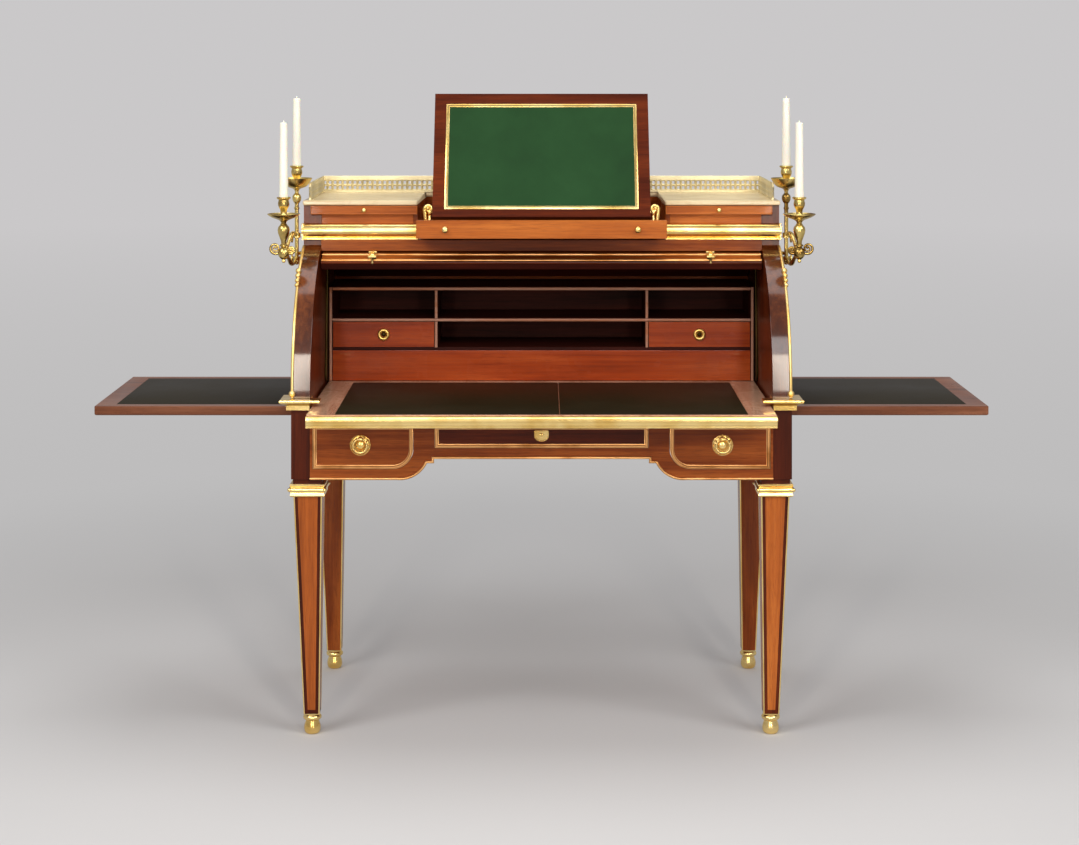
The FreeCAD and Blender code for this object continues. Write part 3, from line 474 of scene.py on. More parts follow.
def finish_named(name):
    """The material of that name, made on first use."""
    found = bpy.data.materials.get(name)
    if found:
        return found
    shades = finishes()
    kind, _, run = name.partition("_")
    if kind in WOODS and run in GRAIN_TURNS:
        prefix, *polish = WOODS[kind]
        grain = [getattr(shades, prefix + part) for part in ("_dark", "_main", "_light")]
        return wood_finish(name, run, *grain, *polish)
    if name in GILTS:
        bright, bright_share, worn, worn_share, *surface = GILTS[name]
        bright = toned(getattr(shades, bright), bright_share)
        worn = toned(getattr(shades, worn), worn_share)
        return gilt_finish(name, bright, worn, *surface)
    # The shelves' edges are painted pale as a highlight along their rounded fronts.
    pale = shades.edge_highlight
    makers = {
        "inner_edge": lambda: wood_finish(name, "across", shades.satin_main, pale, pale, 0.2),
        "marble": lambda: marble_finish(name, shades.marble, shades.marble_vein),
        "writing_leather": lambda: leather_finish(name, shades.dark_leather, 0.4, 900.0),
        "stand_leather": lambda: leather_finish(name, shades.green_leather, 0.58, 700.0),
        "wax": lambda: wax_finish(name, shades.wax),
        "studio": lambda: studio_finish(name, shades.floor, shades.haze_near, shades.haze_far),
    }
    return makers[name]()


MM = 0.001
SEAM = 0.01 * MM
UP, OUT = (0, 0, 1), (0, -1, 0)
SIDES = (("left", -1), ("right", 1))
SMOOTH_ANGLE, BOARD_ANGLE = math.radians(38), math.radians(20)
SHARP_ANGLE, FLAT_ANGLE = math.radians(28), math.radians(0.4)
GOLDEN_STEP = 0.61803


def add_piece(name, shape, finish, body, replaced=(), smooth=SMOOTH_ANGLE):
    """Make a shape a finished piece that rides on a body, and may stand for solids."""
    mesh = bpy.data.meshes.new(name)
    shape.to_mesh(mesh)
    shape.free()
    mesh.materials.append(finish_named(finish))
    mesh.polygons.foreach_set("use_smooth", [True] * len(mesh.polygons))
    mesh.set_sharp_from_angle(angle=smooth)
    piece = bpy.data.objects.new(name, mesh)
    bpy.context.scene.collection.objects.link(piece)
    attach(piece, body)
    if replaced:
        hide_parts(*replaced)
    return piece


def close_shape(shape):
    """Merge a shape's seams and turn its faces outwards."""
    bmesh.ops.remove_doubles(shape, verts=shape.verts, dist=SEAM)
    bmesh.ops.recalc_face_normals(shape, faces=shape.faces)
    return shape


def bridge(shape, rings, closed):
    """Join equal rings of points into a skin, with flat ends where it is open."""
    made = [[shape.verts.new(point) for point in ring] for ring in rings]
    count = len(made[0])
    last = len(made) if closed else len(made) - 1
    for index in range(last):
        here = made[index]
        there = made[(index + 1) % len(made)]
        for step in range(count):
            after = (step + 1) % count
            shape.faces.new((here[step], there[step], there[after], here[after]))
    if not closed:
        shape.faces.new(made[0])
        shape.faces.new(made[-1])


def moulding(shape, path, face, profile, closed):
    """Sweep a closed profile of (out, rise) pairs along a flat path, mitred at the corners.
    Out is to the right of the path as seen with face towards the eye, and rise is along face."""
    face = Vector(face)
    points = [Vector(point) for point in path]
    rings = []
    for index, here in enumerate(points):
        before = points[index - 1] if closed or index else None
        after = points[(index + 1) % len(points)] if closed or index < len(points) - 1 else None
        into = (here - before).normalized() if before is not None else (after - here).normalized()
        onward = (after - here).normalized() if after is not None else into
        side = into.cross(face) + onward.cross(face)
        side *= 2 / side.length_squared
        rings.append([here + side * out + face * rise for out, rise in profile])
    bridge(shape, rings, closed)


def turned(shape, foot, axis, profile, steps):
    """Turn (radius, height) pairs about an axis that stands on foot."""
    foot = Vector(foot)
    axis = Vector(axis).normalized()
    across = axis.orthogonal().normalized()
    onward = axis.cross(across)
    turns = [math.tau * step / steps for step in range(steps)]
    ways = [across * math.cos(angle) + onward * math.sin(angle) for angle in turns]
    rings = []
    for radius, height in profile:
        centre = foot + axis * height
        points = [centre + way * radius for way in ways] if radius else [centre]
        rings.append([shape.verts.new(point) for point in points])
    for low, high in zip(rings, rings[1:]):
        for step in range(steps):
            after = (step + 1) % steps
            corners = [low[step % len(low)], low[after % len(low)]]
            corners += [high[after % len(high)], high[step % len(high)]]
            unique = list(dict.fromkeys(corners))
            if len(unique) > 2:
                shape.faces.new(unique)


def tube(shape, points, radii, sides=12, closed=False):
    """A round bar along points, with its own radius at each."""
    points = [Vector(point) for point in points]
    turns = [math.tau * side / sides for side in range(sides)]
    count = len(points)
    rings = []
    across = None
    for index, here in enumerate(points):
        before = points[index - 1] if closed or index else here
        after = points[(index + 1) % count] if closed or index < count - 1 else here
        along = (after - before).normalized()
        if across is None:
            across = along.orthogonal().normalized()
        across = (across - along * across.dot(along)).normalized()
        onward = along.cross(across)
        radius = radii[index] if hasattr(radii, "__len__") else radii
        rings.append([
            here + (across * math.cos(angle) + onward * math.sin(angle)) * radius for angle in turns
        ])
    bridge(shape, rings, closed)


def box_shape(shape, low, high):
    """A plain box between two corners, to be rounded with the rest of its piece."""
    centre = [(a + b) / 2 for a, b in zip(low, high)]
    size = [b - a for a, b in zip(low, high)]
    made = bmesh.ops.create_cube(shape, size=1.0)["verts"]
    bmesh.ops.scale(shape, vec=size, verts=made)
    bmesh.ops.translate(shape, vec=centre, verts=made)


def round_edges(shape, width):
    """Bevel a shape's sharp edges."""
    sharp = [
        edge for edge in shape.edges
        if len(edge.link_faces) == 2 and edge.calc_face_angle() > SHARP_ANGLE
    ]
    bmesh.ops.bevel(
        shape, geom=sharp, offset=width, offset_type="OFFSET", segments=2, profile=0.5,
        affect="EDGES", clamp_overlap=True,
    )


def mark_boards(shape):
    """Give each separate board its own share, by which its grain is moved."""
    layer = shape.verts.layers.float.new("board")
    left = set(shape.verts)
    count = 0
    for vert in list(shape.verts):
        if vert not in left:
            continue
        count += 1
        left.discard(vert)
        queue = [vert]
        while queue:
            here = queue.pop()
            here[layer] = count * GOLDEN_STEP % 1.0 + 0.1
            for edge in here.link_edges:
                there = edge.other_vert(here)
                if there in left:
                    left.discard(there)
                    queue.append(there)


def node_shape(node):
    """A merged copy of a solid's mesh, without the lines across its flat faces."""
    shape = bmesh.new()
    shape.from_mesh(frame["nodes"][node].data)
    bmesh.ops.remove_doubles(shape, verts=shape.verts, dist=SEAM)
    bmesh.ops.dissolve_limit(shape, angle_limit=FLAT_ANGLE, verts=shape.verts, edges=shape.edges)
    return shape


def soften(node, finish, width=None):
    """Stand a copy of a solid in its place, with rounded edges and its boards told apart."""
    shape = node_shape(node)
    mark_boards(shape)
    round_edges(shape, sizes().edge_round if width is None else width)
    body = frame["nodes"][node]["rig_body"]
    return add_piece("fine_" + node, shape, finish, body, (node,), BOARD_ANGLE)


def seat_of(node):
    """The middle of a fitting's back, where it is planted on its board."""
    low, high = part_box(node)
    return Vector(((low.x + high.x) / 2, high.y, (low.z + high.z) / 2))


def front_outline(node):
    """The four corners of a board's front."""
    low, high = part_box(node)
    corners = ((low.x, low.z), (high.x, low.z), (high.x, high.z), (low.x, high.z))
    return [(x, low.y, z) for x, z in corners]


def arc_points(centre, radius, start, end, steps):
    """Points of an arc in a plane, as (first, second) pairs."""
    turns = [start + (end - start) * step / steps for step in range(steps + 1)]
    return [(centre[0] + radius * math.cos(a), centre[1] + radius * math.sin(a)) for a in turns]


def group_tree(name, inputs):
    """An empty node tree with these named inputs and a material input, and their wires."""
    tree = bpy.data.node_groups.new(name, "GeometryNodeTree")
    tree.interface.new_socket("Geometry", in_out="OUTPUT", socket_type="NodeSocketGeometry")
    for title, kind in inputs.items():
        tree.interface.new_socket(title, in_out="INPUT", socket_type="NodeSocket" + kind)
    tree.interface.new_socket("Finish", in_out="INPUT", socket_type="NodeSocketMaterial")
    entry = tree.nodes.new("NodeGroupInput")
    return Wire(tree), {socket.name: Wire(tree, socket) for socket in entry.outputs if socket.name}


def close_tree(pen, copies, finish):
    """End a tree in plain geometry with its finish."""
    plain = pen.node("GeometryNodeRealizeInstances", {}, {"Geometry": copies})
    done = pen.node("GeometryNodeSetMaterial", {}, {"Geometry": plain, "Material": finish})
    pen.node("NodeGroupOutput", {}, {"Geometry": done})
    return pen.tree


def bead_ring_tree():
    """Beads or petals set round a circle, each stretched away from its centre."""
    pen, given = group_tree(
        "bead_ring", {"Count": "Int", "Radius": "Float", "Bead": "Float", "Stretch": "Float"}
    )
    circle = pen.node(
        "GeometryNodeMeshCircle", {}, {"Vertices": given["Count"], "Radius": given["Radius"]}
    )
    bead = pen.node(
        "GeometryNodeMeshUVSphere", {}, {"Segments": 10, "Rings": 6, "Radius": given["Bead"]}
    )
    place = pen.node("GeometryNodeInputPosition")
    outward = pen.node("FunctionNodeAlignRotationToVector", {"axis": "X"}, {"Vector": place})
    size = pen.node("ShaderNodeCombineXYZ", {}, {"X": given["Stretch"], "Y": 1.0, "Z": 1.0})
    copies = pen.node(
        "GeometryNodeInstanceOnPoints", {},
        {"Points": circle, "Instance": bead, "Rotation": outward, "Scale": size},
    )
    return close_tree(pen, copies, given["Finish"])


def lattice_tree():
    """Rows of small wire rings that touch, as in a pierced gallery."""
    pen, given = group_tree(
        "gallery_lattice",
        {"Length": "Float", "Height": "Float", "Across": "Int", "Rows": "Int", "Ring": "Float",
         "Wire": "Float"},
    )
    grid = pen.node(
        "GeometryNodeMeshGrid", {},
        {"Size X": given["Length"], "Size Y": given["Height"], "Vertices X": given["Across"],
         "Vertices Y": given["Rows"]},
    )
    ring, section = (
        pen.node(
            "GeometryNodeCurvePrimitiveCircle", {}, {"Resolution": steps, "Radius": given[title]}
        )
        for title, steps in (("Ring", 10), ("Wire", 4))
    )
    link = pen.node("GeometryNodeCurveToMesh", {}, {"Curve": ring, "Profile Curve": section})
    copies = pen.node("GeometryNodeInstanceOnPoints", {}, {"Points": grid, "Instance": link})
    return close_tree(pen, copies, given["Finish"])


TREES = {"bead_ring": bead_ring_tree, "gallery_lattice": lattice_tree}


def grow(shape, tree_name, values, finish, place):
    """Run a node tree with these values and add its mesh to a shape at a place."""
    tree = bpy.data.node_groups.get(tree_name) or TREES[tree_name]()
    holder = bpy.data.objects.new(tree_name, bpy.data.meshes.new(tree_name))
    bpy.context.scene.collection.objects.link(holder)
    modifier = holder.modifiers.new("grow", "NODES")
    modifier.node_group = tree
    given = {**values, "Finish": finish_named(finish)}
    for item in tree.interface.items_tree:
        if item.item_type == "SOCKET" and item.in_out == "INPUT":
            modifier[item.identifier] = given[item.name]
    graph = bpy.context.evaluated_depsgraph_get()
    mesh = bpy.data.meshes.new_from_object(holder.evaluated_get(graph))
    mesh.transform(place)
    shape.from_mesh(mesh)
    holder.modifiers.remove(modifier)
    bpy.data.objects.remove(holder)
    bpy.data.meshes.remove(mesh)


BALL_BANDS, BALL_STEPS = 8, 16


def ball(shape, centre, radius):
    """A small round boss."""
    profile = [(0.0, -radius)]
    for step in range(1, BALL_BANDS):
        angle = math.pi * step / BALL_BANDS
        profile.append((radius * math.sin(angle), -radius * math.cos(angle)))
    turned(shape, centre, UP, [*profile, (0.0, radius)], BALL_STEPS)


def scaled(pairs):
    """Pairs written in millimetres, as metres."""
    return [(first * MM, second * MM) for first, second in pairs]


def facing(centre, face):
    """A placement at a point whose Z looks along face."""
    return Matrix.Translation(centre) @ Vector(face).to_track_quat("Z", "Y").to_matrix().to_4x4()


def join_shape(shape, part):
    """Add a finished part's mesh to a shape."""
    mesh = bpy.data.meshes.new("part")
    part.to_mesh(mesh)
    part.free()
    shape.from_mesh(mesh)
    bpy.data.meshes.remove(mesh)


def rounded_box(shape, low, high, edge):
    """Add a box with rounded edges to a shape."""
    part = bmesh.new()
    box_shape(part, low, high)
    round_edges(part, edge)
    join_shape(shape, part)


def moulded_piece(name, path, face, section, closed, finish, body, replaced=()):
    """A piece that is one moulding along a path."""
    shape = bmesh.new()
    moulding(shape, path, face, section, closed)
    add_piece(name, close_shape(shape), finish, body, replaced)


def turned_piece(name, foot, line, steps, finish, body, replaced=()):
    """A piece that is one turning, planted on a front."""
    shape = bmesh.new()
    turned(shape, foot, OUT, line, steps)
    add_piece(name, close_shape(shape), finish, body, replaced)


FOOT_LINE = (
    (0, 0), (12.4, 0), (15.4, 1.2), (17.8, 4), (19.2, 8.5), (19.6, 13), (19, 18.5), (17.4, 24),
    (15.8, 28.5), (15.4, 31), (16.6, 32.4), (19.6, 33.6), (21.4, 36), (21.8, 38.6), (21, 41.4),
    (18.8, 43.4), (17.6, 44.6), (18.2, 46), (18.2, 49), (0, 49),
)
COLLAR_LINE = (
    (-2, 0), (4, 0), (6, 1.5), (7, 4), (6, 7), (5, 9), (5, 10.5), (8, 12), (10, 14.5), (10.5, 17),
    (10, 19.5), (8, 21.5), (5.5, 22.5), (5.5, 24), (7.5, 26), (7.5, 29), (6.5, 30), (-2, 30),
)
FOOT_REACH, COLLAR_REACH, COLLAR_HALF = 22 * MM, 44 * MM, 33.5 * MM
BOSS_OUT, BOSS_RISE, BOSS_RADIUS = 8 * MM, 17 * MM, 4.6 * MM
AROUND = ((-1, -1), (1, -1), (1, 1), (-1, 1))


def leg_depths(node, reach):
    """How deep the middles of the front and back legs lie, from a mount that reaches past them."""
    low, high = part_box(node)
    return low.y + reach, high.y - reach


def leg_middles(node, reach):
    """The middles of the four legs, from a mount that reaches past them."""
    low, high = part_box(node)
    return list(product((low.x + reach, high.x - reach), leg_depths(node, reach)))


def make_leg_mounts():
    """Turned gilt feet and moulded gilt collars with a boss at each corner."""
    feet = bmesh.new()
    for x, y in leg_middles("leg_feet", FOOT_REACH):
        turned(feet, (x, y, 0.0), UP, scaled(FOOT_LINE), 40)
    add_piece("gilt_feet", close_shape(feet), "gilt", "case", ("leg_feet",))
    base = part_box("leg_collars")[0].z
    boss = COLLAR_HALF + BOSS_OUT
    collars = bmesh.new()
    for x, y in leg_middles("leg_collars", COLLAR_REACH):
        path = [(x + across * COLLAR_HALF, y + deep * COLLAR_HALF, base) for across, deep in AROUND]
        moulding(collars, path, UP, scaled(COLLAR_LINE), True)
        for across, deep in AROUND:
            ball(collars, (x + across * boss, y + deep * boss, base + BOSS_RISE), BOSS_RADIUS)
    add_piece("gilt_collars", close_shape(collars), "gilt", "case", ("leg_collars",))


LEG_LINE_RADIUS, LEG_LINE_INSET = 2 * MM, 1.6 * MM
ANKLE_X, ANKLE_HALF = 539 * MM, 18.5 * MM
KNEE_X, KNEE_HALF, KNEE_Z = 547 * MM, 34 * MM, 591.6 * MM


def make_leg_lines():
    """Brass strips let into the tapering corners of the four legs."""
    ankle_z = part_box("leg_feet")[1].z
    collar_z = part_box("leg_collars")[0].z
    ankle, knee = ANKLE_HALF - LEG_LINE_INSET, KNEE_HALF - LEG_LINE_INSET
    depths = tuple(zip(leg_depths("leg_feet", FOOT_REACH), leg_depths("leg_collars", COLLAR_REACH)))
    lines = bmesh.new()
    for side, (ankle_y, knee_y), turn_x, turn_y in product((-1, 1), depths, (-1, 1), (-1, 1)):
        low = Vector((side * ANKLE_X + turn_x * ankle, ankle_y + turn_y * ankle, ankle_z))
        high = Vector((side * KNEE_X + turn_x * knee, knee_y + turn_y * knee, KNEE_Z))
        top = low.lerp(high, (collar_z - low.z) / (high.z - low.z))
        tube(lines, [low, top], LEG_LINE_RADIUS, 8)
    add_piece("leg_lines", close_shape(lines), "gilt_matt", "case")


def through(first, middle, last, steps):
    """Points of the arc that passes through three points of a plane."""
    (ax, ay), (bx, by), (cx, cy) = first, middle, last
    double = 2 * (ax * (by - cy) + bx * (cy - ay) + cx * (ay - by))
    sums = [x * x + y * y for x, y in (first, middle, last)]
    ox = (sums[0] * (by - cy) + sums[1] * (cy - ay) + sums[2] * (ay - by)) / double
    oy = (sums[0] * (cx - bx) + sums[1] * (ax - cx) + sums[2] * (bx - ax)) / double
    turns = [math.atan2(y - oy, x - ox) for x, y in (first, middle, last)]
    for index in (1, 2):
        turns[index] -= math.tau * round((turns[index] - turns[index - 1]) / math.tau)
    return arc_points((ox, oy), math.hypot(ax - ox, ay - oy), turns[0], turns[2], steps)


FRAME_LINE = (
    (-1.0, -0.1), (-1.0, 0.26), (-0.85, 0.36), (-0.80, 0.66), (-0.62, 0.98), (-0.38, 0.98),
    (-0.22, 0.66), (-0.17, 0.36), (0.0, 0.26), (0.0, -0.1),
)
FRAME_CORNER = 47 * MM
BEAD_LINE = ((-5, -0.4), (-5, 0.8), (-3.8, 2.4), (-2.2, 3.0), (-0.4, 2.6), (0.8, 1.4), (1.2, -0.4))
# The right half of the apron's lower edge, as steps out from the middle and up from its foot.
APRON_STEP = ((252, 49), (252, 39), (268, 39))
APRON_SWEEP = ((268, 39), (296.8, 8.3), (338, 0))


def side_drawer_path(low, high, sign):
    """The outline of a side drawer's front, its lower inner corner round."""
    near, far = sorted((abs(low.x), abs(high.x)))
    middle = (near + FRAME_CORNER, low.z + FRAME_CORNER)
    line = [(far, low.z), (far, high.z), (near, high.z), (near, low.z + FRAME_CORNER)]
    line += arc_points(middle, FRAME_CORNER, math.pi, math.pi * 1.5, 12)[1:]
    if sign < 0:
        line = [(-x, z) for x, z in reversed(line)]
    return [(x, low.y, z) for x, z in line]


def make_frieze_mounts():
    """Gilt frames on the drawers and the bead below the apron."""
    wide, proud = sizes().frame_width, sizes().frame_proud
    section = [(out * wide, rise * proud) for out, rise in FRAME_LINE]
    for side, sign in SIDES:
        drawer = "drawer_" + side
        path = side_drawer_path(*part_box(drawer), sign)
        moulded_piece("drawer_frame_" + side, path, OUT, section, True, "gilt_line", drawer)
    path = front_outline("drawer_centre")
    moulded_piece("drawer_frame_centre", path, OUT, section, True, "gilt_line", "drawer_centre")

    low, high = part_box("front_apron")
    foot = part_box("side_rails")[0].z
    half = [(x * MM, foot + rise * MM) for x, rise in APRON_STEP]
    half += through(*((x * MM, foot + rise * MM) for x, rise in APRON_SWEEP), 14)[1:]
    half.append((high.x, foot))
    path = [(x, low.y, z) for x, z in [(-x, z) for x, z in reversed(half)] + half]
    moulded_piece("apron_bead", path, OUT, scaled(BEAD_LINE), False, "gilt_line", "case")


ROSETTE_LINE = (
    (0, -0.5), (24.4, -0.5), (25, 0.4), (25, 2.2), (24.2, 3.4), (22.8, 3.8), (21.6, 3.2),
    (20.8, 2.4), (15, 2.8), (12.5, 4.4), (11.8, 6.2), (9.5, 7.4), (6.5, 8.4), (3, 9), (0, 9.2),
)
# Petals and rim beads: how far they stand out, their count, circle, size and stretch.
ROSETTE_BEADS = ((3.2, 12, 17, 2.5, 1.6), (3.4, 40, 23.2, 1.5, 1.0))
BARREL_LINE = ((0, -6), (3.4, -6), (4.4, -5), (4.4, 5), (3.4, 6), (0, 6))
LUG_DEPTH, LUG_RADIUS, RING_WIRE = 14 * MM, 3 * MM, 2.6 * MM
RING_STEPS, RING_THIN, RING_SWELL = 56, 2.3 * MM, 0.5 * MM


def make_rosettes():
    """Petalled gilt rosettes, each with a lug and a hanging ring."""
    turns = [math.tau * step / RING_STEPS for step in range(RING_STEPS)]
    for side, _ in SIDES:
        centre = seat_of("rosette_" + side)
        low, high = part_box("ring_" + side)
        pivot = Vector((centre.x, (low.y + high.y) / 2, high.z - RING_WIRE))
        rosette = bmesh.new()
        turned(rosette, centre, OUT, scaled(ROSETTE_LINE), 48)
        for out, count, circle, bead, stretch in ROSETTE_BEADS:
            values = {"Count": count, "Radius": circle * MM, "Bead": bead * MM, "Stretch": stretch}
            grow(rosette, "bead_ring", values, "gilt", facing(centre + Vector(OUT) * out * MM, OUT))
        turned(rosette, pivot, (1, 0, 0), scaled(BARREL_LINE), 20)
        tube(rosette, [pivot + Vector((0, LUG_DEPTH, 0)), pivot], LUG_RADIUS)
        bmesh.ops.recalc_face_normals(rosette, faces=rosette.faces)
        add_piece("petal_rosette_" + side, rosette, "gilt", "drawer_" + side, ("rosette_" + side,))

        middle = Vector((centre.x, pivot.y, (low.z + high.z) / 2))
        radius = (high.z - low.z) / 2 - RING_WIRE
        points = [middle + Vector((math.sin(a), 0, math.cos(a))) * radius for a in turns]
        ring = bmesh.new()
        radii = [RING_THIN + RING_SWELL * (1 - math.cos(a)) for a in turns]
        tube(ring, points, radii, closed=True)
        node = "ring_" + side
        add_piece("hanging_ring_" + side, close_shape(ring), "gilt", node, (node,))


# The keyhole plate's upper left edge, as shares of its half width, and its other proportions.
PLATE_EAR = ((-0.82, 1.0), (-1.0, 0.8), (-1.0, 0.0))
PLATE_BOWL, PLATE_LIFT, PLATE_SQUASH = -0.15, 0.2, 0.74
PLATE_RIM = ((-3.2, 2.0), (-3.2, 3.6), (-2.4, 4.4), (-1.2, 4.4), (-0.2, 3.4), (-0.2, 2.0))
PLATE_BUSH = ((0, 2.5), (5.2, 2.5), (5.2, 4.2), (4.4, 4.8), (3.0, 4.8), (2.6, 3.2), (0, 3.2))


def make_keyhole():
    """A shaped gilt plate with a raised rim round the keyhole."""
    low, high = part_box("keyhole_plate")
    half = (high.x - low.x) / 2
    middle = (low.z + high.z) / 2 + half * PLATE_LIFT
    outline = [*PLATE_EAR, *arc_points((0.0, PLATE_BOWL), 1.0, math.pi, math.tau, 20)]
    outline += [(-x, z) for x, z in reversed(PLATE_EAR)]
    path = [(x * half, high.y, middle + z * half * PLATE_SQUASH) for x, z in outline]
    plate = bmesh.new()
    face = plate.faces.new([plate.verts.new(point) for point in path])
    raised = bmesh.ops.extrude_face_region(plate, geom=[face])["geom"]
    front = [vert for vert in raised if isinstance(vert, bmesh.types.BMVert)]
    bmesh.ops.translate(plate, vec=(0, low.y - high.y, 0), verts=front)
    moulding(plate, path, OUT, scaled(PLATE_RIM), True)
    turned(plate, (0.0, high.y, middle), OUT, scaled(PLATE_BUSH), 24)
    add_piece("keyhole_mount", close_shape(plate), "gilt", "drawer_centre", ("keyhole_plate",))


LIP_LINE = (
    (-0.2, 0.3), (12, 0.3), (13.2, 1.2), (13.2, 5.5), (12.4, 6.5), (12.4, 8), (13.6, 10), (14, 14),
    (14, 22), (13.2, 25), (11.4, 26.4), (9, 26.8), (-0.2, 26.8),
)
SEAM_X, SEAM_HALF, HIDE_EDGE = 41.5 * MM, 0.7 * MM, 0.5 * MM


def make_slide_and_leaves():
    """The gilt front of the writing slide, and the leather of the slide and the two leaves."""
    low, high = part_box("slide_lip")
    path = [(low.x, high.y, low.z), (high.x, high.y, low.z)]
    moulded_piece(
        "slide_front", path, UP, scaled(LIP_LINE), False, "gilt", "writing_slide", ("slide_lip",)
    )
    low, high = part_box("slide_leather")
    hide = bmesh.new()
    rounded_box(hide, low, (SEAM_X - SEAM_HALF, high.y, high.z), HIDE_EDGE)
    rounded_box(hide, (SEAM_X + SEAM_HALF, low.y, low.z), high, HIDE_EDGE)
    add_piece("slide_hide", hide, "writing_leather", "writing_slide", ("slide_leather",))
    for side, _ in SIDES:
        hide = bmesh.new()
        rounded_box(hide, *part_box("leaf_leather_" + side), HIDE_EDGE)
        add_piece(
            "leaf_hide_" + side, hide, "writing_leather", "leaf_" + side, ("leaf_leather_" + side,)
        )


CORNICE_OUT, BAY_LAP, RETURN_INSET = 18, 12 * MM, 2 * MM
CORNICE_LINE = (
    (-1, 0), (8, 0), (8.8, 1), (8.8, 4.4), (8, 5.4), (7.4, 6.2), (9.5, 7.4), (13.6, 10.4),
    (16.6, 14.6), (CORNICE_OUT, 19.6), (17.8, 24.6), (16.4, 29.6), (13.8, 34.2), (10.4, 37.8),
    (6.5, 40), (-1, 40),
)


def make_cornice():
    """The swelling gilt cornice beside the bay, returned shallowly along the sides."""
    low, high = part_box("cornice")
    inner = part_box("bay_carcase")[1].x - BAY_LAP
    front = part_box("upper_carcase")[0].y
    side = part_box("side_upright_right")[1].x
    turn = low.y + RETURN_INSET
    share = (high.x - side) / (CORNICE_OUT * MM)
    full = scaled(CORNICE_LINE)
    thin = [(out * share, rise) for out, rise in full]
    cornice = bmesh.new()
    for start, end, section in (
        ((inner, front), (high.x, front), full),
        ((low.x, front), (-inner, front), full),
        ((side, turn), (side, high.y), thin),
        ((-side, high.y), (-side, turn), thin),
    ):
        moulding(cornice, [(*start, low.z), (*end, low.z)], UP, section, False)
    add_piece("gilt_cornice", close_shape(cornice), "gilt", "case", ("cornice",))


GALLERY_THICK, LOWER_RAIL, UPPER_RAIL = 4 * MM, 6 * MM, 11 * MM
LOWER_HALF, UPPER_HALF, RAIL_EDGE = 2.4 * MM, 2.2 * MM, 0.8 * MM
RING_LAP = 0.56


def rail_section(half, base, top):
    """A rail between two heights, its edges taken off."""
    thin = half - RAIL_EDGE
    return [
        (-half, base + RAIL_EDGE), (-thin, base), (thin, base), (half, base + RAIL_EDGE),
        (half, (base + top) / 2), (half, top - RAIL_EDGE), (thin, top), (-thin, top),
        (-half, top - RAIL_EDGE),
    ]


def make_gallery():
    """A pierced gallery of small rings between two rails, on the back and both sides."""
    low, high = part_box("gallery")
    middle_y = (low.y + high.y) / 2
    inset = GALLERY_THICK / 2
    runs = (
        (Vector((0, high.y - inset, 0)), OUT, high.x - low.x),
        (Vector((high.x - inset, middle_y, 0)), (1, 0, 0), high.y - low.y),
        (Vector((low.x + inset, middle_y, 0)), (-1, 0, 0), high.y - low.y),
    )
    bottom, top = low.z + LOWER_RAIL, high.z - UPPER_RAIL
    rows = max(1, round((top - bottom) / sizes().lattice_pitch))
    step = (top - bottom) / rows
    gallery = bmesh.new()
    for centre, face, length in runs:
        along = Vector(UP).cross(Vector(face)) * (length / 2)
        path = [centre - along, centre + along]
        moulding(gallery, path, UP, rail_section(LOWER_HALF, low.z, bottom), False)
        moulding(gallery, path, UP, rail_section(UPPER_HALF, top, high.z), False)
        values = {
            "Length": length - step, "Height": top - bottom - step,
            "Across": max(2, round((length - step) / step)) + 1, "Rows": rows,
            "Ring": step * RING_LAP, "Wire": sizes().lattice_wire,
        }
        place = facing(centre + Vector((0, 0, (bottom + top) / 2)), face)
        grow(gallery, "gallery_lattice", values, "gilt", place)
    add_piece("pierced_gallery", gallery, "gilt_pale", "case", ("gallery",))


# The gilt line round the stand's leather, as shares of its width and rise.
STAND_LINE = ((0, -0.2), (0, 0.25), (0.2, 0.5), (0.8, 0.5), (1, 0.25), (1, -0.2))
STAND_LINE_WIDE, STAND_LINE_RISE = 8 * MM, 3 * MM
STAND_EDGE, STAND_HIDE_EDGE, FRONTWARD = 1.6 * MM, 0.4 * MM, -0.5


def make_stand():
    """The reading stand's moulded frame, its gilt line and its leather."""
    soften("stand_frame", "umber_across", STAND_EDGE)
    leather = node_shape("stand_leather")
    fronts = [face for face in leather.faces if face.normal.y < FRONTWARD]
    front = max(fronts, key=lambda face: face.calc_area())
    face = front.normal.copy()
    corners = [loop.vert.co.copy() for loop in front.loops]
    leather.free()
    section = [(out * STAND_LINE_WIDE, rise * STAND_LINE_RISE) for out, rise in STAND_LINE]
    moulded_piece("stand_line", corners, face, section, True, "gilt", "reading_stand")
    soften("stand_leather", "stand_leather", STAND_HIDE_EDGE)


# The axis and radii of the curved sides and of the cylinder, in millimetres.
AXIS_Y, AXIS_Z, SIDE_RADIUS, CYLINDER_RADIUS = 124.5, 790.0, 350.0, 335.0
STRIP_X, STRIP_INSET, STRIP_RADIUS = 583.6, 1, 3.8 * MM
STRIP_START, STRIP_SWEEP, STRIP_STEPS = 0.3, 73.2, 40
DROP_X, DROP_OUT, DROP_ANGLES = 585, 2, (54.0, 51.2, 48.6, 46.2)
DROP_RADIUS, DROP_SHRINK = 7.2, 0.6
HEEL_ANGLE, HEEL_RADIUS = 1.8, 8 * MM


def on_side_arc(x, degrees, radius):
    """A point over the curved front of a side, by its angle above the level."""
    angle = math.radians(degrees)
    return Vector((x, AXIS_Y - radius * math.cos(angle), AXIS_Z + radius * math.sin(angle))) * MM


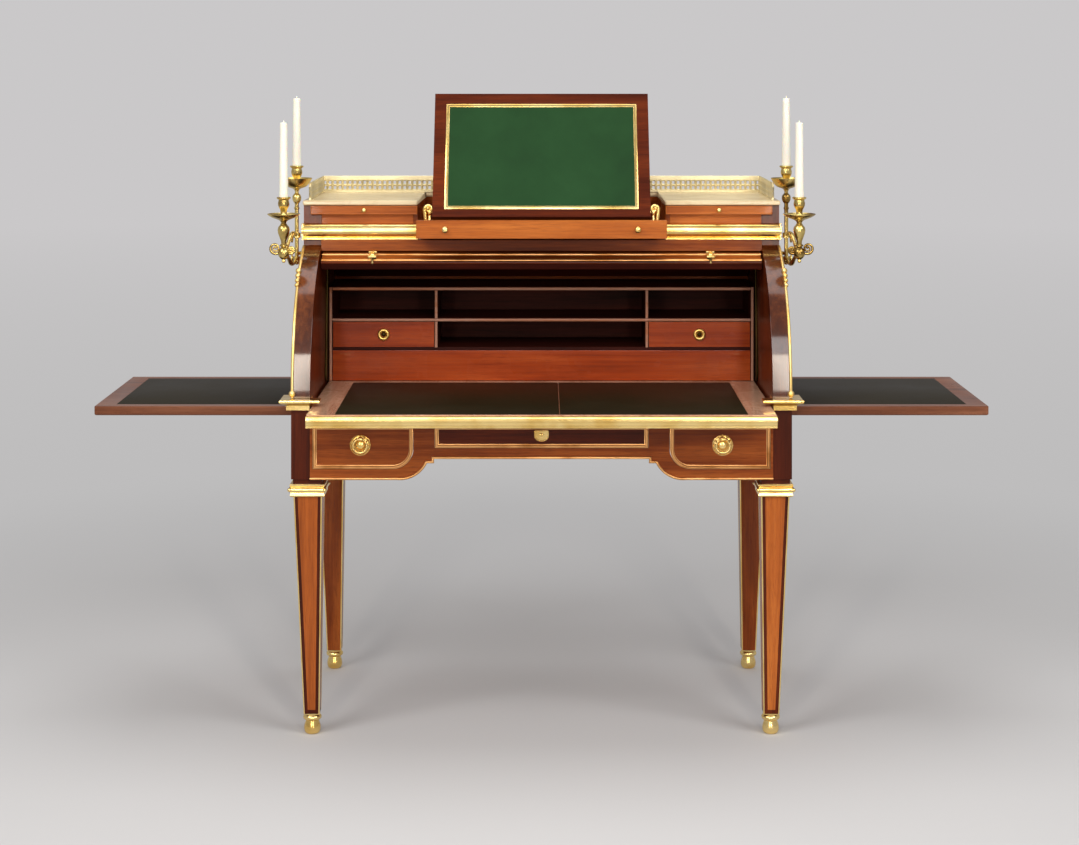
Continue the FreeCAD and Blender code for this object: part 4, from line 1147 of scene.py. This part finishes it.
def make_upright_mounts():
    """Brass strips up the outer edges of the curved sides, with a run of gilt drops."""
    mounts = bmesh.new()
    for side in (-1, 1):
        angles = [STRIP_START + STRIP_SWEEP * step / STRIP_STEPS for step in range(STRIP_STEPS + 1)]
        path = [on_side_arc(side * STRIP_X, angle, SIDE_RADIUS - STRIP_INSET) for angle in angles]
        tube(mounts, path, STRIP_RADIUS)
        for index, angle in enumerate(DROP_ANGLES):
            place = on_side_arc(side * DROP_X, angle, SIDE_RADIUS + DROP_OUT)
            ball(mounts, place, (DROP_RADIUS - index * DROP_SHRINK) * MM)
        ball(mounts, on_side_arc(side * STRIP_X, HEEL_ANGLE, SIDE_RADIUS), HEEL_RADIUS)
    bmesh.ops.recalc_face_normals(mounts, faces=mounts.faces)
    add_piece("upright_mounts", mounts, "gilt_matt", "case")


BLOCK_INNER, BLOCK_OUTER = 541.0, 595.0
BLOCK_FRONT, TONGUE_BACK, BLOCK_BACK = -245.5, -220.5, -173.5
# How far each ring of a block spreads outwards and inwards, and its height.
BLOCK_RINGS = (
    (0, 0, 0), (0, 0, 10.5), (2, 4, 11.5), (3, 5, 13), (6, 9, 14.5), (11, 17, 16.4),
    (14.2, 23.5, 18.4), (15, 25, 19.6), (15, 25, 23.6), (14, 24, 25),
)


def make_blocks():
    """Gilt blocks with a spreading cap, on which the curved sides stand."""
    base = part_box("upright_blocks")[0].z
    blocks = bmesh.new()
    for side in (-1, 1):
        rings = []
        for out, into, rise in BLOCK_RINGS:
            outer, tongue, front = BLOCK_OUTER + out, BLOCK_INNER - into, BLOCK_FRONT - out
            ring = (
                (outer, BLOCK_BACK), (outer, front), (tongue, front),
                (tongue, TONGUE_BACK), (BLOCK_INNER, TONGUE_BACK), (BLOCK_INNER, BLOCK_BACK),
            )
            rings.append([Vector((side * x * MM, y * MM, base + rise * MM)) for x, y in ring])
        bridge(blocks, rings, False)
    close_shape(blocks)
    bmesh.ops.dissolve_degenerate(blocks, edges=blocks.edges, dist=SEAM)
    add_piece("side_blocks", blocks, "gilt", "case", ("upright_blocks",))


PARTITION_X, WALL_HALF = 265 * MM, 5 * MM
SHELF_SHARE, PARTITION_SHARE, WALL_SHARE = 0.96, 0.94, 0.9


def make_inner_edges():
    """Rounded edges on the shelves, the partitions and the walls of the pigeonholes, painted pale
    as a highlight.
    """
    low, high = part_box("pigeonhole_shelves")
    wall_low, wall_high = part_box("pigeonhole_uprights")
    corners = frame["nodes"]["pigeonhole_shelves"].data.vertices
    levels = sorted({round(vert.co.z, 4) for vert in corners})
    half = (levels[1] - levels[0]) / 2
    edges = bmesh.new()
    for base in levels[2::2]:
        tube(edges, [(x, low.y, base + half) for x in (low.x, high.x)], half * SHELF_SHARE, 10)
    for span in zip(levels[1::2], levels[2::2]):
        for x in (-PARTITION_X, PARTITION_X):
            tube(edges, [(x, low.y, z) for z in span], half * PARTITION_SHARE, 10)
    for x in (wall_low.x + WALL_HALF, wall_high.x - WALL_HALF):
        tube(edges, [(x, low.y, z) for z in (wall_low.z, wall_high.z)], half * WALL_SHARE, 10)
    add_piece("inner_edges", close_shape(edges), "inner_edge", "case")


PULL_RING = (
    (6.2, -0.4), (15.4, -0.4), (16, 0.8), (15.8, 3.0), (14.2, 5.6), (11.6, 6.9), (9.4, 6.6),
    (7.2, 4.8), (6.2, 2.4), (6.2, -0.4),
)
PULL_BOSS = ((0, -0.3), (5.6, -0.3), (5.2, 1.6), (3.4, 3.0), (0, 3.6))
# A knob's outline: shares of its radius, and heights of a knob 13 mm long.
KNOB_LINE = (
    (0, -0.3), (0.72, -0.3), (0.76, 0.3), (0.5, 0.9), (0.36, 2.0), (0.38, 3.6), (0.62, 5.0),
    (0.88, 6.4), (1.0, 8.2), (0.96, 10.2), (0.78, 11.8), (0.45, 12.7), (0, 13),
)
KNOB_RADIUS, TRAY_KNOB_RADIUS, TRAY_KNOB_STRETCH = 6 * MM, 8 * MM, 16 / 13 * MM


def make_pulls():
    """Ring pulls of the inner drawers, and turned knobs of the upper drawers and the tray."""
    knob = [(share * KNOB_RADIUS, rise * MM) for share, rise in KNOB_LINE]
    tray_knob = [(share * TRAY_KNOB_RADIUS, rise * TRAY_KNOB_STRETCH) for share, rise in KNOB_LINE]
    for side, _ in SIDES:
        pull, inner = "inner_pull_" + side, "inner_drawer_" + side
        foot = seat_of(pull)
        turned_piece("ring_pull_" + side, foot, scaled(PULL_RING), 40, "gilt_matt", inner, (pull,))
        turned_piece("ring_boss_" + side, foot, scaled(PULL_BOSS), 24, "gilt_dark", inner)
        node = "upper_knob_" + side
        foot = seat_of(node)
        turned_piece("drawer_knob_" + side, foot, knob, 28, "gilt", "upper_drawer_" + side, (node,))
    low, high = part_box("tray_knobs")
    knobs = bmesh.new()
    for x in (low.x + TRAY_KNOB_RADIUS, high.x - TRAY_KNOB_RADIUS):
        turned(knobs, (x, high.y, (low.z + high.z) / 2), OUT, tray_knob, 28)
    add_piece("turned_tray_knobs", close_shape(knobs), "gilt", "reading_tray", ("tray_knobs",))


CYLINDER_EDGE = 62.82
GRIP_X, GRIP_TURN, GRIP_EDGE, GRIP_POST_RISE = 412 * MM, 2.39, 1.6 * MM, 10.5 * MM
# The blocks of a grip: half width, foot, head, near face and far face.
GRIP_BLOCKS = ((10.5, -14, -8, 10, 19), (10.5, 8, 14, 10, 19), (5.2, -9, 9, 11, 20))
GRIP_POST = ((0, 0), (4.4, 0), (3.2, 3), (3.2, 12), (0, 12))
LIP_BAND = ((-1.2, -4.4), (1.2, -4.4), (2.4, -3.2), (2.6, 0), (2.4, 2.6), (1.2, 4.0), (-1.2, 4.0))
LINE_BEAD = ((-0.4, -4.4), (1.6, -4.4), (3.2, -3.2), (4.0, 0), (3.2, 3.2), (1.6, 4.4), (-0.4, 4.4))
LIP_PLACE, LINE_PLACES = 4.5, (13.0, 43.5)


def on_cylinder(x, turn):
    """A point on the cylinder's face by its angle, with the ways outwards and up the curve."""
    away = Vector((0, -math.cos(turn), math.sin(turn)))
    upward = Vector((0, math.sin(turn), math.cos(turn)))
    return Vector((x, AXIS_Y * MM, AXIS_Z * MM)) + away * CYLINDER_RADIUS * MM, away, upward


def make_grips():
    """The two gilt grips of the cylinder, each a barred block on two posts."""
    grips = bmesh.new()
    for x in (-GRIP_X, GRIP_X):
        foot, away, upward = on_cylinder(x, math.radians(CYLINDER_EDGE + GRIP_TURN))
        grip = bmesh.new()
        for half, base, top, near, far in GRIP_BLOCKS:
            box_shape(grip, Vector((-half, near, base)) * MM, Vector((half, far, top)) * MM)
        round_edges(grip, GRIP_EDGE)
        for rise in (-GRIP_POST_RISE, GRIP_POST_RISE):
            turned(grip, (0, 0, rise), (0, 1, 0), scaled(GRIP_POST), 16)
        axes = Matrix((Vector((1, 0, 0)), away, upward)).transposed().to_4x4()
        bmesh.ops.transform(grip, matrix=Matrix.Translation(foot) @ axes, verts=grip.verts)
        join_shape(grips, grip)
    bmesh.ops.recalc_face_normals(grips, faces=grips.faces)
    add_piece("cylinder_grips", grips, "gilt", "cylinder", ("cylinder_pulls",))


def make_cylinder_lines():
    """The wooden lip along the cylinder's edge, dark as painted shade, and the two gilt lines above
    it.
    """
    low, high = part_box("cylinder_lines")
    lip, lines = bmesh.new(), bmesh.new()
    runs = [(lip, LIP_PLACE, LIP_BAND)] + [(lines, place, LINE_BEAD) for place in LINE_PLACES]
    for shape, place, section in runs:
        turn = math.radians(CYLINDER_EDGE) + place / CYLINDER_RADIUS
        start, _, upward = on_cylinder(low.x, turn)
        end = start + Vector((high.x - low.x, 0, 0))
        moulding(shape, [start, end], upward, scaled(section), False)
    # The lip is dark wood as painted shade under the cylinder's edge.
    add_piece("cylinder_lip", close_shape(lip), "umber_across", "cylinder")
    add_piece("cylinder_line", close_shape(lines), "gilt_line", "cylinder", ("cylinder_lines",))


COCK_BEAD = ((0, -0.2), (0, 1.0), (-0.7, 1.7), (-1.6, 1.7), (-2.3, 1.0), (-2.3, -0.2))


def make_cock_beads():
    """Cock beads round the upper drawers."""
    for side, _ in SIDES:
        name, drawer = "cock_bead_" + side, "upper_drawer_" + side
        path = front_outline(drawer)
        moulded_piece(name, path, OUT, scaled(COCK_BEAD), True, "satin_across", drawer)


DEEP_PAN = (
    (4.6, -18), (6.5, -13), (10, -10.4), (15, -8.8), (22, -6), (28, -1), (32.5, 5), (35.8, 10.6),
    (38, 14.8), (37.4, 15.8), (34.2, 12), (29.4, 6.6), (22, 3.4), (12, 2.4),
)
FLAT_PAN = (
    (6, -16), (8, -12), (12, -9), (19, -6.4), (28, -3), (35, 1), (38.6, 4), (39.2, 5.4),
    (38.4, 6.2), (34, 3.4), (26, 1), (12, 0.4),
)
SOCKET_HIGH = 46
SOCKET_LINE = (
    (8.8, 3.2), (7.8, 7), (7.6, 11), (8.6, 16), (11.2, 21), (13.4, 26), (13.8, 31), (12.6, 36),
    (12, 39.5), (14.6, 41), (16.8, 43), (16.8, 45), (15.4, SOCKET_HIGH), (0, SOCKET_HIGH),
)
STEM_LINE = (
    (0, -198), (3.5, -197), (5.6, -194.6), (5.2, -192.4), (9.4, -190.6), (9.8, -189.8), (5, -189.6),
    (5, -62), (6.6, -60), (6.6, -57.5), (5, -55.5), (5, -47), (7.6, -44), (10.4, -38.6), (11, -33),
    (10.2, -28), (7.2, -24), (4.8, -21.6),
)
BODY_LINE = (
    (0, -112), (3, -111), (4.8, -107.6), (3.6, -104), (8, -101), (12.4, -95.4), (14, -88),
    (12.6, -80.6), (8, -76), (6, -73.4), (9.6, -71.4), (9.6, -68.6), (6, -66.4), (6.4, -60),
    (9.8, -51), (13.4, -41), (14.6, -33.4), (13, -26), (8.4, -20.4),
)
KNUCKLE_LINE = (
    (5.3, 0), (9.2, 0), (10, 1.2), (9.2, 3.2), (9.2, 8.8), (10, 10.8), (9.2, 12), (5.3, 12),
    (5.3, 0),
)
# Places of the right branch in millimetres; the left one is its mirror image.
STEM_X, STEM_Y = 602, 26.5
STEM_PLATE, STEM_PLATE_EDGE = ((585.0, 26.5, 1094), (590.0, 60.5, 1120)), 1.8 * MM
STEM_LINK, LINK_RADII = ((588, 40, 1107), (596, 32, 1107), (STEM_X, STEM_Y, 1107)), (5.5, 4.6, 4)
ARM_START, ARM_RISE, ARM_END = (603, 18.5), 6, (618, -105.5, 1122)
# Each bar of an arm: the height of its knuckle and its sag.
ARM_BARS, BAR_STEPS, BAR_WAVE = ((1088, 14), (1146, -14)), 24, 0.45
BAR_RADIUS, BAR_SWELL, BAR_RIPPLE, BAR_RIPPLES = 3.4, 1.8, 0.7, 3
CURL_STEP, CURL_REACH, CURL_WIND = 8, 11.5, 0.36
CURL_RADII, CURL_BALL = [2.8 - 0.05 * step for step in range(27)], 3.4
# The scrolls at an arm's end: which way they lean, and their size.
END_SCROLLS, SCROLL_PACE, SCROLL_WIND = ((1.0, 13.0), (-1.0, 9.0)), 0.34, 0.027
SCROLL_OUT, SCROLL_SPREAD, SCROLL_DROP, SCROLL_ROOT = 10, 0.8, 4, 2 * MM
SCROLL_RADII, SCROLL_BALL = [3.4 - 0.06 * step for step in range(31)], 3.8
CANDLE_EDGE = 0.6 * MM


def side_place(side, point):
    """A place given in millimetres for the right side, or its mirror image on the left."""
    return Vector((side * point[0], *point[1:])) * MM


def spiral(start, pace, reach, shrink, steps):
    """(across, up) pairs of a spiral that winds in a little at each step."""
    turns = [(start + step * pace, (reach - step * shrink) * MM) for step in range(steps)]
    return [(math.cos(angle) * radius, math.sin(angle) * radius) for angle, radius in turns]


def scroll(shape, points, radii, knob, sides):
    """A bar along points that ends in a small ball, its radii in millimetres."""
    tube(shape, points, [radius * MM for radius in radii], sides)
    ball(shape, points[-1], knob * MM)


def make_candle_stems():
    """The fixed stems with their pans and sockets, each held to the side by a plate."""
    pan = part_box("upper_candles")[0].z - SOCKET_HIGH * MM
    stems = bmesh.new()
    for side in (-1, 1):
        foot = (side * STEM_X * MM, STEM_Y * MM, pan)
        turned(stems, foot, UP, scaled(STEM_LINE + DEEP_PAN + SOCKET_LINE), 36)
        ends = [side_place(side, corner) for corner in STEM_PLATE]
        low, high = (tuple(map(pick, *ends)) for pick in (min, max))
        rounded_box(stems, low, high, STEM_PLATE_EDGE)
        path = [side_place(side, point) for point in STEM_LINK]
        tube(stems, path, [radius * MM for radius in LINK_RADII])
    add_piece("candle_stem_mounts", close_shape(stems), "gilt_aged", "case", ("candle_stems",))


def swung_bar(arm, start, end, sag):
    """A swelling bar that sags between two points and carries a curl."""
    points, radii = [], []
    for step in range(BAR_STEPS + 1):
        share = step / BAR_STEPS
        bend = math.sin(math.pi * share)
        point = start.lerp(end, share)
        point.z -= sag * MM * (bend + BAR_WAVE * math.sin(math.tau * share))
        ripple = BAR_RIPPLE * math.sin(math.tau * BAR_RIPPLES * share)
        points.append(point)
        radii.append((BAR_RADIUS + (BAR_SWELL + ripple) * bend) * MM)
    tube(arm, points, radii)
    drop = math.copysign(1.0, sag)
    winding = spiral(math.pi / 2, CURL_WIND, CURL_REACH, CURL_WIND, len(CURL_RADII))
    curl = [
        points[CURL_STEP] + Vector((0, -across, -drop * (up - CURL_REACH * MM)))
        for across, up in winding
    ]
    scroll(arm, curl, CURL_RADII, CURL_BALL, 10)


def make_candle_arms():
    """Scrolled arms that swing on the stems, each with its own pan and socket."""
    for name, side in SIDES:
        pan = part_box("lower_candle_" + name)[0].z - SOCKET_HIGH * MM
        end = side_place(side, ARM_END)
        arm = bmesh.new()
        turned(arm, (end.x, end.y, pan), UP, scaled(BODY_LINE + FLAT_PAN + SOCKET_LINE), 36)
        for base, sag in ARM_BARS:
            turned(arm, side_place(side, (STEM_X, STEM_Y, base)), UP, scaled(KNUCKLE_LINE), 28)
            swung_bar(arm, side_place(side, (*ARM_START, base + ARM_RISE)), end, sag)
        for lean, size in END_SCROLLS:
            out, up = (SCROLL_OUT + size * SCROLL_SPREAD) * MM, (size - SCROLL_DROP) * MM
            steps = len(SCROLL_RADII) - 1
            winding = spiral(-math.pi / 2, SCROLL_PACE, size, size * SCROLL_WIND, steps)
            points = [end - Vector((0, 0, SCROLL_ROOT))]
            points += [end + Vector((side * lean * (out + x), 0, up + z)) for x, z in winding]
            scroll(arm, points, SCROLL_RADII, SCROLL_BALL, 10)
        node = "candle_arm_" + name
        add_piece("scrolled_arm_" + name, close_shape(arm), "gilt_aged", node, (node,))


def make_candles():
    """The wax candles, their edges softened."""
    for node in ("upper_candles", "lower_candle_left", "lower_candle_right"):
        soften(node, "wax", CANDLE_EDGE)


PIVOT_Y, PIVOT_Z, BRACKET_X, BRACKET_EDGE = -55.5, 1214.4, 271, 1.6 * MM
BRACKET_HALF, BRACKET_DEEP, BRACKET_TOP = 2.8, 9, 3
CAP_X = 267.5
CAP_LINE = (
    (0, -10), (3, -10), (3, 0), (11, 0), (12, 1.2), (12, 5.2), (10.6, 6.4), (6, 7.2), (3, 9),
    (0, 9.6),
)
HORN_LEAD = ((274, PIVOT_Y - 2, 1166), (279, PIVOT_Y - 4, 1184))
HORN_X, HORN_Y, HORN_Z, HORN_LEAN = 273, PIVOT_Y - 5, 1222, 0.1
HORN_START, HORN_PACE, HORN_REACH, HORN_WIND = -0.5, 0.3, 10.5, 0.3
HORN_RADII, HORN_BALL = [4.2, 4.2] + [4.4 - 0.07 * step for step in range(26)], 4.2


def make_stand_brackets():
    """Curled gilt brackets that carry the reading stand's pivots."""
    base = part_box("stand_brackets")[0].z
    front, back, top = PIVOT_Y - BRACKET_DEEP, PIVOT_Y + BRACKET_DEEP, PIVOT_Z + BRACKET_TOP
    steps = len(HORN_RADII) - len(HORN_LEAD)
    winding = spiral(HORN_START, HORN_PACE, HORN_REACH, HORN_WIND, steps)
    brackets = bmesh.new()
    for side in (-1, 1):
        left, right = side * BRACKET_X - BRACKET_HALF, side * BRACKET_X + BRACKET_HALF
        low, high = (left * MM, front * MM, base), (right * MM, back * MM, top * MM)
        rounded_box(brackets, low, high, BRACKET_EDGE)
        hub = side_place(side, (CAP_X, PIVOT_Y, PIVOT_Z))
        turned(brackets, hub, (side, 0, 0), scaled(CAP_LINE), 28)
        horn = [side_place(side, point) for point in HORN_LEAD]
        for step, (across, up) in enumerate(winding):
            middle = side_place(side, (HORN_X, HORN_Y - HORN_LEAN * step, HORN_Z))
            horn.append(middle + Vector((side * across, 0, up)))
        scroll(brackets, horn, HORN_RADII, HORN_BALL, 12)
    add_piece("curled_brackets", close_shape(brackets), "gilt", "reading_tray", ("stand_brackets",))


BOARDS = {
    "side_upright": ("side_upright_left", "side_upright_right"),
    "satin_across": ("reading_tray", "upper_carcase", "upper_drawer_left", "upper_drawer_right"),
    "border_deep": ("slide_board",),
    "mahogany_across": (
        "front_apron", "back_panel", "cylinder_panel", "drawer_left", "drawer_right",
        "bay_carcase", "upper_floor",
    ),
    "umber_across": ("drawer_centre",),
    "leaf_across": ("leaf_left", "leaf_right"),
    "mahogany_deep": ("side_rails",),
    # The cylinder's arms are near black as painted shade beside the dark jambs.
    "gilt_dark": ("cylinder_arms",),
    "inner_across": ("pigeonhole_panels", "inner_drawer_left", "inner_drawer_right", "slide_bed"),
    "inner_upright": ("stand_prop",),
    # The pigeonholes' shelves and uprights take the recess wood as painted shade.
    "recess_across": ("pigeonhole_shelves",),
    "recess_upright": ("pigeonhole_uprights",),
    "inner_deep": ("drawer_runners",),
}
LEG_FINISHES = ("satin_upright", "umber_upright", "mahogany_upright")
LEG_BAND, LEG_PANEL_AREA, LEG_PANEL_LEAN = 12.5 * MM, 0.004, 0.2
SQUARE_ON, SHOULDER_DROP, RECESS_DEPTH, MARBLE_EDGE = 0.9, 60 * MM, 50 * MM, 3.6 * MM
HOLLOW_FRONT, HOLLOW_DOWN = -0.6, -0.3


def refinish(piece, finish, chosen):
    """Give some of a piece's faces another finish."""
    piece.data.materials.append(finish_named(finish))
    for face in piece.data.polygons:
        if chosen(face):
            face.material_index = len(piece.data.materials) - 1


def make_legs():
    """Tapering legs with a pale panel between dark bands on each front face, under dark posts, and
    back legs in plainer, darker wood as painted shade.
    """
    pale, dark, plain = range(len(LEG_FINISHES))
    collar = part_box("leg_collars")[1].z
    shape = node_shape("legs")
    mark_boards(shape)
    round_edges(shape, sizes().edge_round)
    panels = [
        face for face in shape.faces
        if abs(face.normal.z) < LEG_PANEL_LEAN and face.calc_area() > LEG_PANEL_AREA
    ]
    inset = bmesh.ops.inset_individual(shape, faces=panels, thickness=LEG_BAND)
    bands = set(inset["faces"])
    shape.normal_update()
    for face in shape.faces:
        place = face.calc_center_median()
        if place.z > collar:
            face.material_index = dark
        # The back legs take the darker plain mahogany, without pale panels, as painted shade.
        elif place.y > 0:
            face.material_index = plain
        else:
            face.material_index = dark if face in bands or face not in panels else pale
    piece = add_piece("fine_legs", shape, LEG_FINISHES[pale], "case", ("legs",), BOARD_ANGLE)
    for finish in LEG_FINISHES[1:]:
        piece.data.materials.append(finish_named(finish))


def refinish_side(piece, inward):
    """Paint shade as darker wood on a curved side's inner face and shoulder, and give its outside
    the case's wood.
    """
    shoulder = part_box("cornice")[0].z - SHOULDER_DROP
    # The inner face and the shoulder take the dark wood as painted shade.
    refinish(piece, "umber_upright", lambda face: face.normal.x * inward > SQUARE_ON or (
        face.normal.y < -SQUARE_ON and face.center.z > shoulder))
    refinish(piece, "mahogany_upright", lambda face: (
        face.normal.x * inward < -SQUARE_ON or face.normal.y > SQUARE_ON))


def make_boards():
    """Give every board its wood, and paint shade as darker wood on some faces that face inwards or
    lie deep in the desk.
    """
    make_legs()
    pieces = {node: soften(node, finish) for finish, nodes in BOARDS.items() for node in nodes}
    for side, sign in SIDES:
        refinish_side(pieces["side_upright_" + side], -sign)
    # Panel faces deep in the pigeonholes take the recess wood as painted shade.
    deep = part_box("pigeonhole_shelves")[0].y + RECESS_DEPTH
    refinish(pieces["pigeonhole_panels"], "recess_across", lambda face: face.center.y > deep)
    # The cylinder's faces that look down and forward take the recess wood as painted shade.
    refinish(pieces["cylinder_panel"], "recess_across", lambda face: (
        face.normal.z < HOLLOW_DOWN and face.normal.y < HOLLOW_FRONT))
    # The top is marble, its warm cream tint partly a painted reflection of the gallery.
    soften("top_boards", "marble", MARBLE_EDGE)


STUDIO_RADIUS = 60.0


def make_studio():
    """A wide pale floor that fades into the air."""
    shape = bmesh.new()
    rim = arc_points((0.0, 0.0), STUDIO_RADIUS, 0.0, math.tau, 96)[:-1]
    shape.faces.new([shape.verts.new((x, y, 0.0)) for x, y in rim])
    mesh = bpy.data.meshes.new("studio")
    shape.to_mesh(mesh)
    shape.free()
    mesh.materials.append(finish_named("studio"))
    studio = bpy.data.objects.new("studio", mesh)
    bpy.context.scene.collection.objects.link(studio)


# Each lamp: its place, what it is aimed at, its width and height, and its power.
LAMPS = {
    "lamp_left": ((-3.0, -3.2, 4.4), (0.0, 0.0, 0.8), (2.4, 2.4), 112.0),
    "lamp_right": ((3.2, -3.0, 4.2), (0.0, 0.0, 0.8), (2.4, 2.4), 95.0),
    "lamp_front": ((0.3, -5.0, 4.0), (0.0, 0.0, 0.8), (2.2, 1.4), 60.0),
    "lamp_top": ((0.0, 0.6, 5.0), (0.0, 0.2, 0.0), (3.2, 3.2), 80.0),
    "panel_left": ((-1.25, -5.4, 1.9), (0.0, 0.0, 1.0), (0.28, 2.8), 56.0),
    "panel_right": ((1.25, -5.4, 1.9), (0.0, 0.0, 1.0), (0.28, 2.8), 56.0),
}
PANEL_TINT, AIR_TINT = (1.0, 0.9, 0.78), (1.0, 0.98, 0.99)
SOFT_AIR, MIRRORED_AIR, SEEN_AIR = 0.22, 0.4, 0.59


def make_lights(scene):
    """Large soft lamps, two tall panels and an even pale surround."""
    for name, (place, aim, size, power) in LAMPS.items():
        lamp = bpy.data.lights.new(name, "AREA")
        lamp.shape = "RECTANGLE"
        lamp.size, lamp.size_y = size
        lamp.energy = power
        if name.startswith("panel"):
            lamp.color = PANEL_TINT
        holder = bpy.data.objects.new(name, lamp)
        holder.location = place
        holder.rotation_euler = (Vector(aim) - Vector(place)).to_track_quat("-Z", "Y").to_euler()
        scene.collection.objects.link(holder)
    world = bpy.data.worlds.new("studio_air")
    world.use_nodes = True
    world.node_tree.nodes.clear()
    pen = Wire(world.node_tree)
    seen = ray(pen, "Is Camera Ray") * (SEEN_AIR - SOFT_AIR)
    mirrored = ray(pen, "Is Glossy Ray") * (MIRRORED_AIR - SOFT_AIR)
    strength = seen + mirrored + SOFT_AIR
    air = pen.node("ShaderNodeBackground", {}, {"Color": opaque(AIR_TINT), "Strength": strength})
    pen.node("ShaderNodeOutputWorld", {}, {"Surface": air})
    scene.world = world
    scene.view_settings.view_transform = "Standard"


# The frame, and the point in it that is straight ahead of the eye, in pixels from its upper left.
FRAME_WIDE, FRAME_TALL, AHEAD_X, AHEAD_Y = 1079, 845, 541.5, 65.2
FILM_WIDTH, FAR_LIMIT = 36.0, 100.0


def make_view(scene):
    """The eye point, a little above the top of the stand, its frame moved down to the desk."""
    lens = bpy.data.cameras.new("view")
    lens.sensor_fit = "HORIZONTAL"
    lens.sensor_width = FILM_WIDTH
    lens.lens = sizes().lens
    lens.shift_x = (FRAME_WIDE / 2 - AHEAD_X) / FRAME_WIDE
    lens.shift_y = (AHEAD_Y - FRAME_TALL / 2) / FRAME_WIDE
    lens.clip_end = FAR_LIMIT
    view = bpy.data.objects.new("view", lens)
    view.location = sizes().eye
    view.rotation_euler = (math.pi / 2, 0.0, 0.0)
    scene.collection.objects.link(view)
    scene.camera = view


class DESK_OT_boards(bpy.types.Operator):
    """Round the edges of the desk's boards, give them their wood and paint shade on some inner
    faces
    """

    bl_idname = "desk.boards"
    bl_label = "Boards"

    def execute(self, context):
        make_boards()
        return {"FINISHED"}


class DESK_OT_leg_mounts(bpy.types.Operator):
    """Turn the gilt feet and mould the collars of the legs"""

    bl_idname = "desk.leg_mounts"
    bl_label = "Leg mounts"

    def execute(self, context):
        make_leg_mounts()
        make_leg_lines()
        return {"FINISHED"}


class DESK_OT_frieze_mounts(bpy.types.Operator):
    """Frame the drawers, bead the apron and fit rosettes, rings and keyhole"""

    bl_idname = "desk.frieze_mounts"
    bl_label = "Frieze mounts"

    def execute(self, context):
        make_frieze_mounts()
        make_rosettes()
        make_keyhole()
        return {"FINISHED"}


class DESK_OT_slide_and_leaves(bpy.types.Operator):
    """Lay the leather and the gilt front of the slide and the leaves"""

    bl_idname = "desk.slide_and_leaves"
    bl_label = "Slide and leaves"

    def execute(self, context):
        make_slide_and_leaves()
        return {"FINISHED"}


class DESK_OT_cornice(bpy.types.Operator):
    """Mould the gilt cornice"""

    bl_idname = "desk.cornice"
    bl_label = "Cornice"

    def execute(self, context):
        make_cornice()
        return {"FINISHED"}


class DESK_OT_gallery(bpy.types.Operator):
    """Pierce the gallery round the top"""

    bl_idname = "desk.gallery"
    bl_label = "Gallery"

    def execute(self, context):
        make_gallery()
        return {"FINISHED"}


class DESK_OT_reading_stand(bpy.types.Operator):
    """Frame the reading stand and lay its leather"""

    bl_idname = "desk.reading_stand"
    bl_label = "Reading stand"

    def execute(self, context):
        make_stand()
        make_stand_brackets()
        return {"FINISHED"}


class DESK_OT_side_mounts(bpy.types.Operator):
    """Line the curved sides, set drops on them and mould their blocks"""

    bl_idname = "desk.side_mounts"
    bl_label = "Side mounts"

    def execute(self, context):
        make_upright_mounts()
        make_blocks()
        return {"FINISHED"}


class DESK_OT_inside(bpy.types.Operator):
    """Round the edges of the shelves and partitions"""

    bl_idname = "desk.inside"
    bl_label = "Inside"

    def execute(self, context):
        make_inner_edges()
        return {"FINISHED"}


class DESK_OT_pulls(bpy.types.Operator):
    """Turn the knobs and rings, and fit the cylinder's grips, its lines and the cock beads"""

    bl_idname = "desk.pulls"
    bl_label = "Pulls and lines"

    def execute(self, context):
        make_pulls()
        make_grips()
        make_cylinder_lines()
        make_cock_beads()
        return {"FINISHED"}


class DESK_OT_candle_branches(bpy.types.Operator):
    """Turn the candle stems, scroll their arms and set the candles"""

    bl_idname = "desk.candle_branches"
    bl_label = "Candle branches"

    def execute(self, context):
        make_candle_stems()
        make_candle_arms()
        make_candles()
        return {"FINISHED"}


class DESK_OT_stage(bpy.types.Operator):
    """Set the studio, its lights and the view"""

    bl_idname = "desk.stage"
    bl_label = "Studio"

    def execute(self, context):
        make_studio()
        make_lights(context.scene)
        make_view(context.scene)
        return {"FINISHED"}


OPERATORS = (
    DESK_OT_boards,
    DESK_OT_leg_mounts,
    DESK_OT_frieze_mounts,
    DESK_OT_slide_and_leaves,
    DESK_OT_cornice,
    DESK_OT_gallery,
    DESK_OT_reading_stand,
    DESK_OT_side_mounts,
    DESK_OT_inside,
    DESK_OT_pulls,
    DESK_OT_candle_branches,
    DESK_OT_stage,
)


class DESK_PT_panel(bpy.types.Panel):
    """The desk's pieces, sizes and colours"""

    bl_idname = "DESK_PT_panel"
    bl_label = "Cylinder desk"
    bl_space_type = "VIEW_3D"
    bl_region_type = "UI"
    bl_category = "Desk"

    def draw(self, context):
        layout = self.layout
        for operator in OPERATORS:
            layout.operator(operator.bl_idname)
        for group in (context.scene.desk_sizes, context.scene.desk_finishes):
            box = layout.box()
            for name in type(group).__annotations__:
                box.prop(group, name)


CLASSES = (DeskFinishes, DeskSizes, *OPERATORS, DESK_PT_panel)


def register():
    for entry in CLASSES:
        bpy.utils.register_class(entry)
    bpy.types.Scene.desk_finishes = bpy.props.PointerProperty(type=DeskFinishes)
    bpy.types.Scene.desk_sizes = bpy.props.PointerProperty(type=DeskSizes)


def unregister():
    del bpy.types.Scene.desk_sizes
    del bpy.types.Scene.desk_finishes
    for entry in reversed(CLASSES):
        bpy.utils.unregister_class(entry)


def main():
    register()
    for operator in OPERATORS:
        group, name = operator.bl_idname.split(".")
        getattr(getattr(bpy.ops, group), name)()
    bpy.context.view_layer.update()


if __name__ == "__main__":
    main()
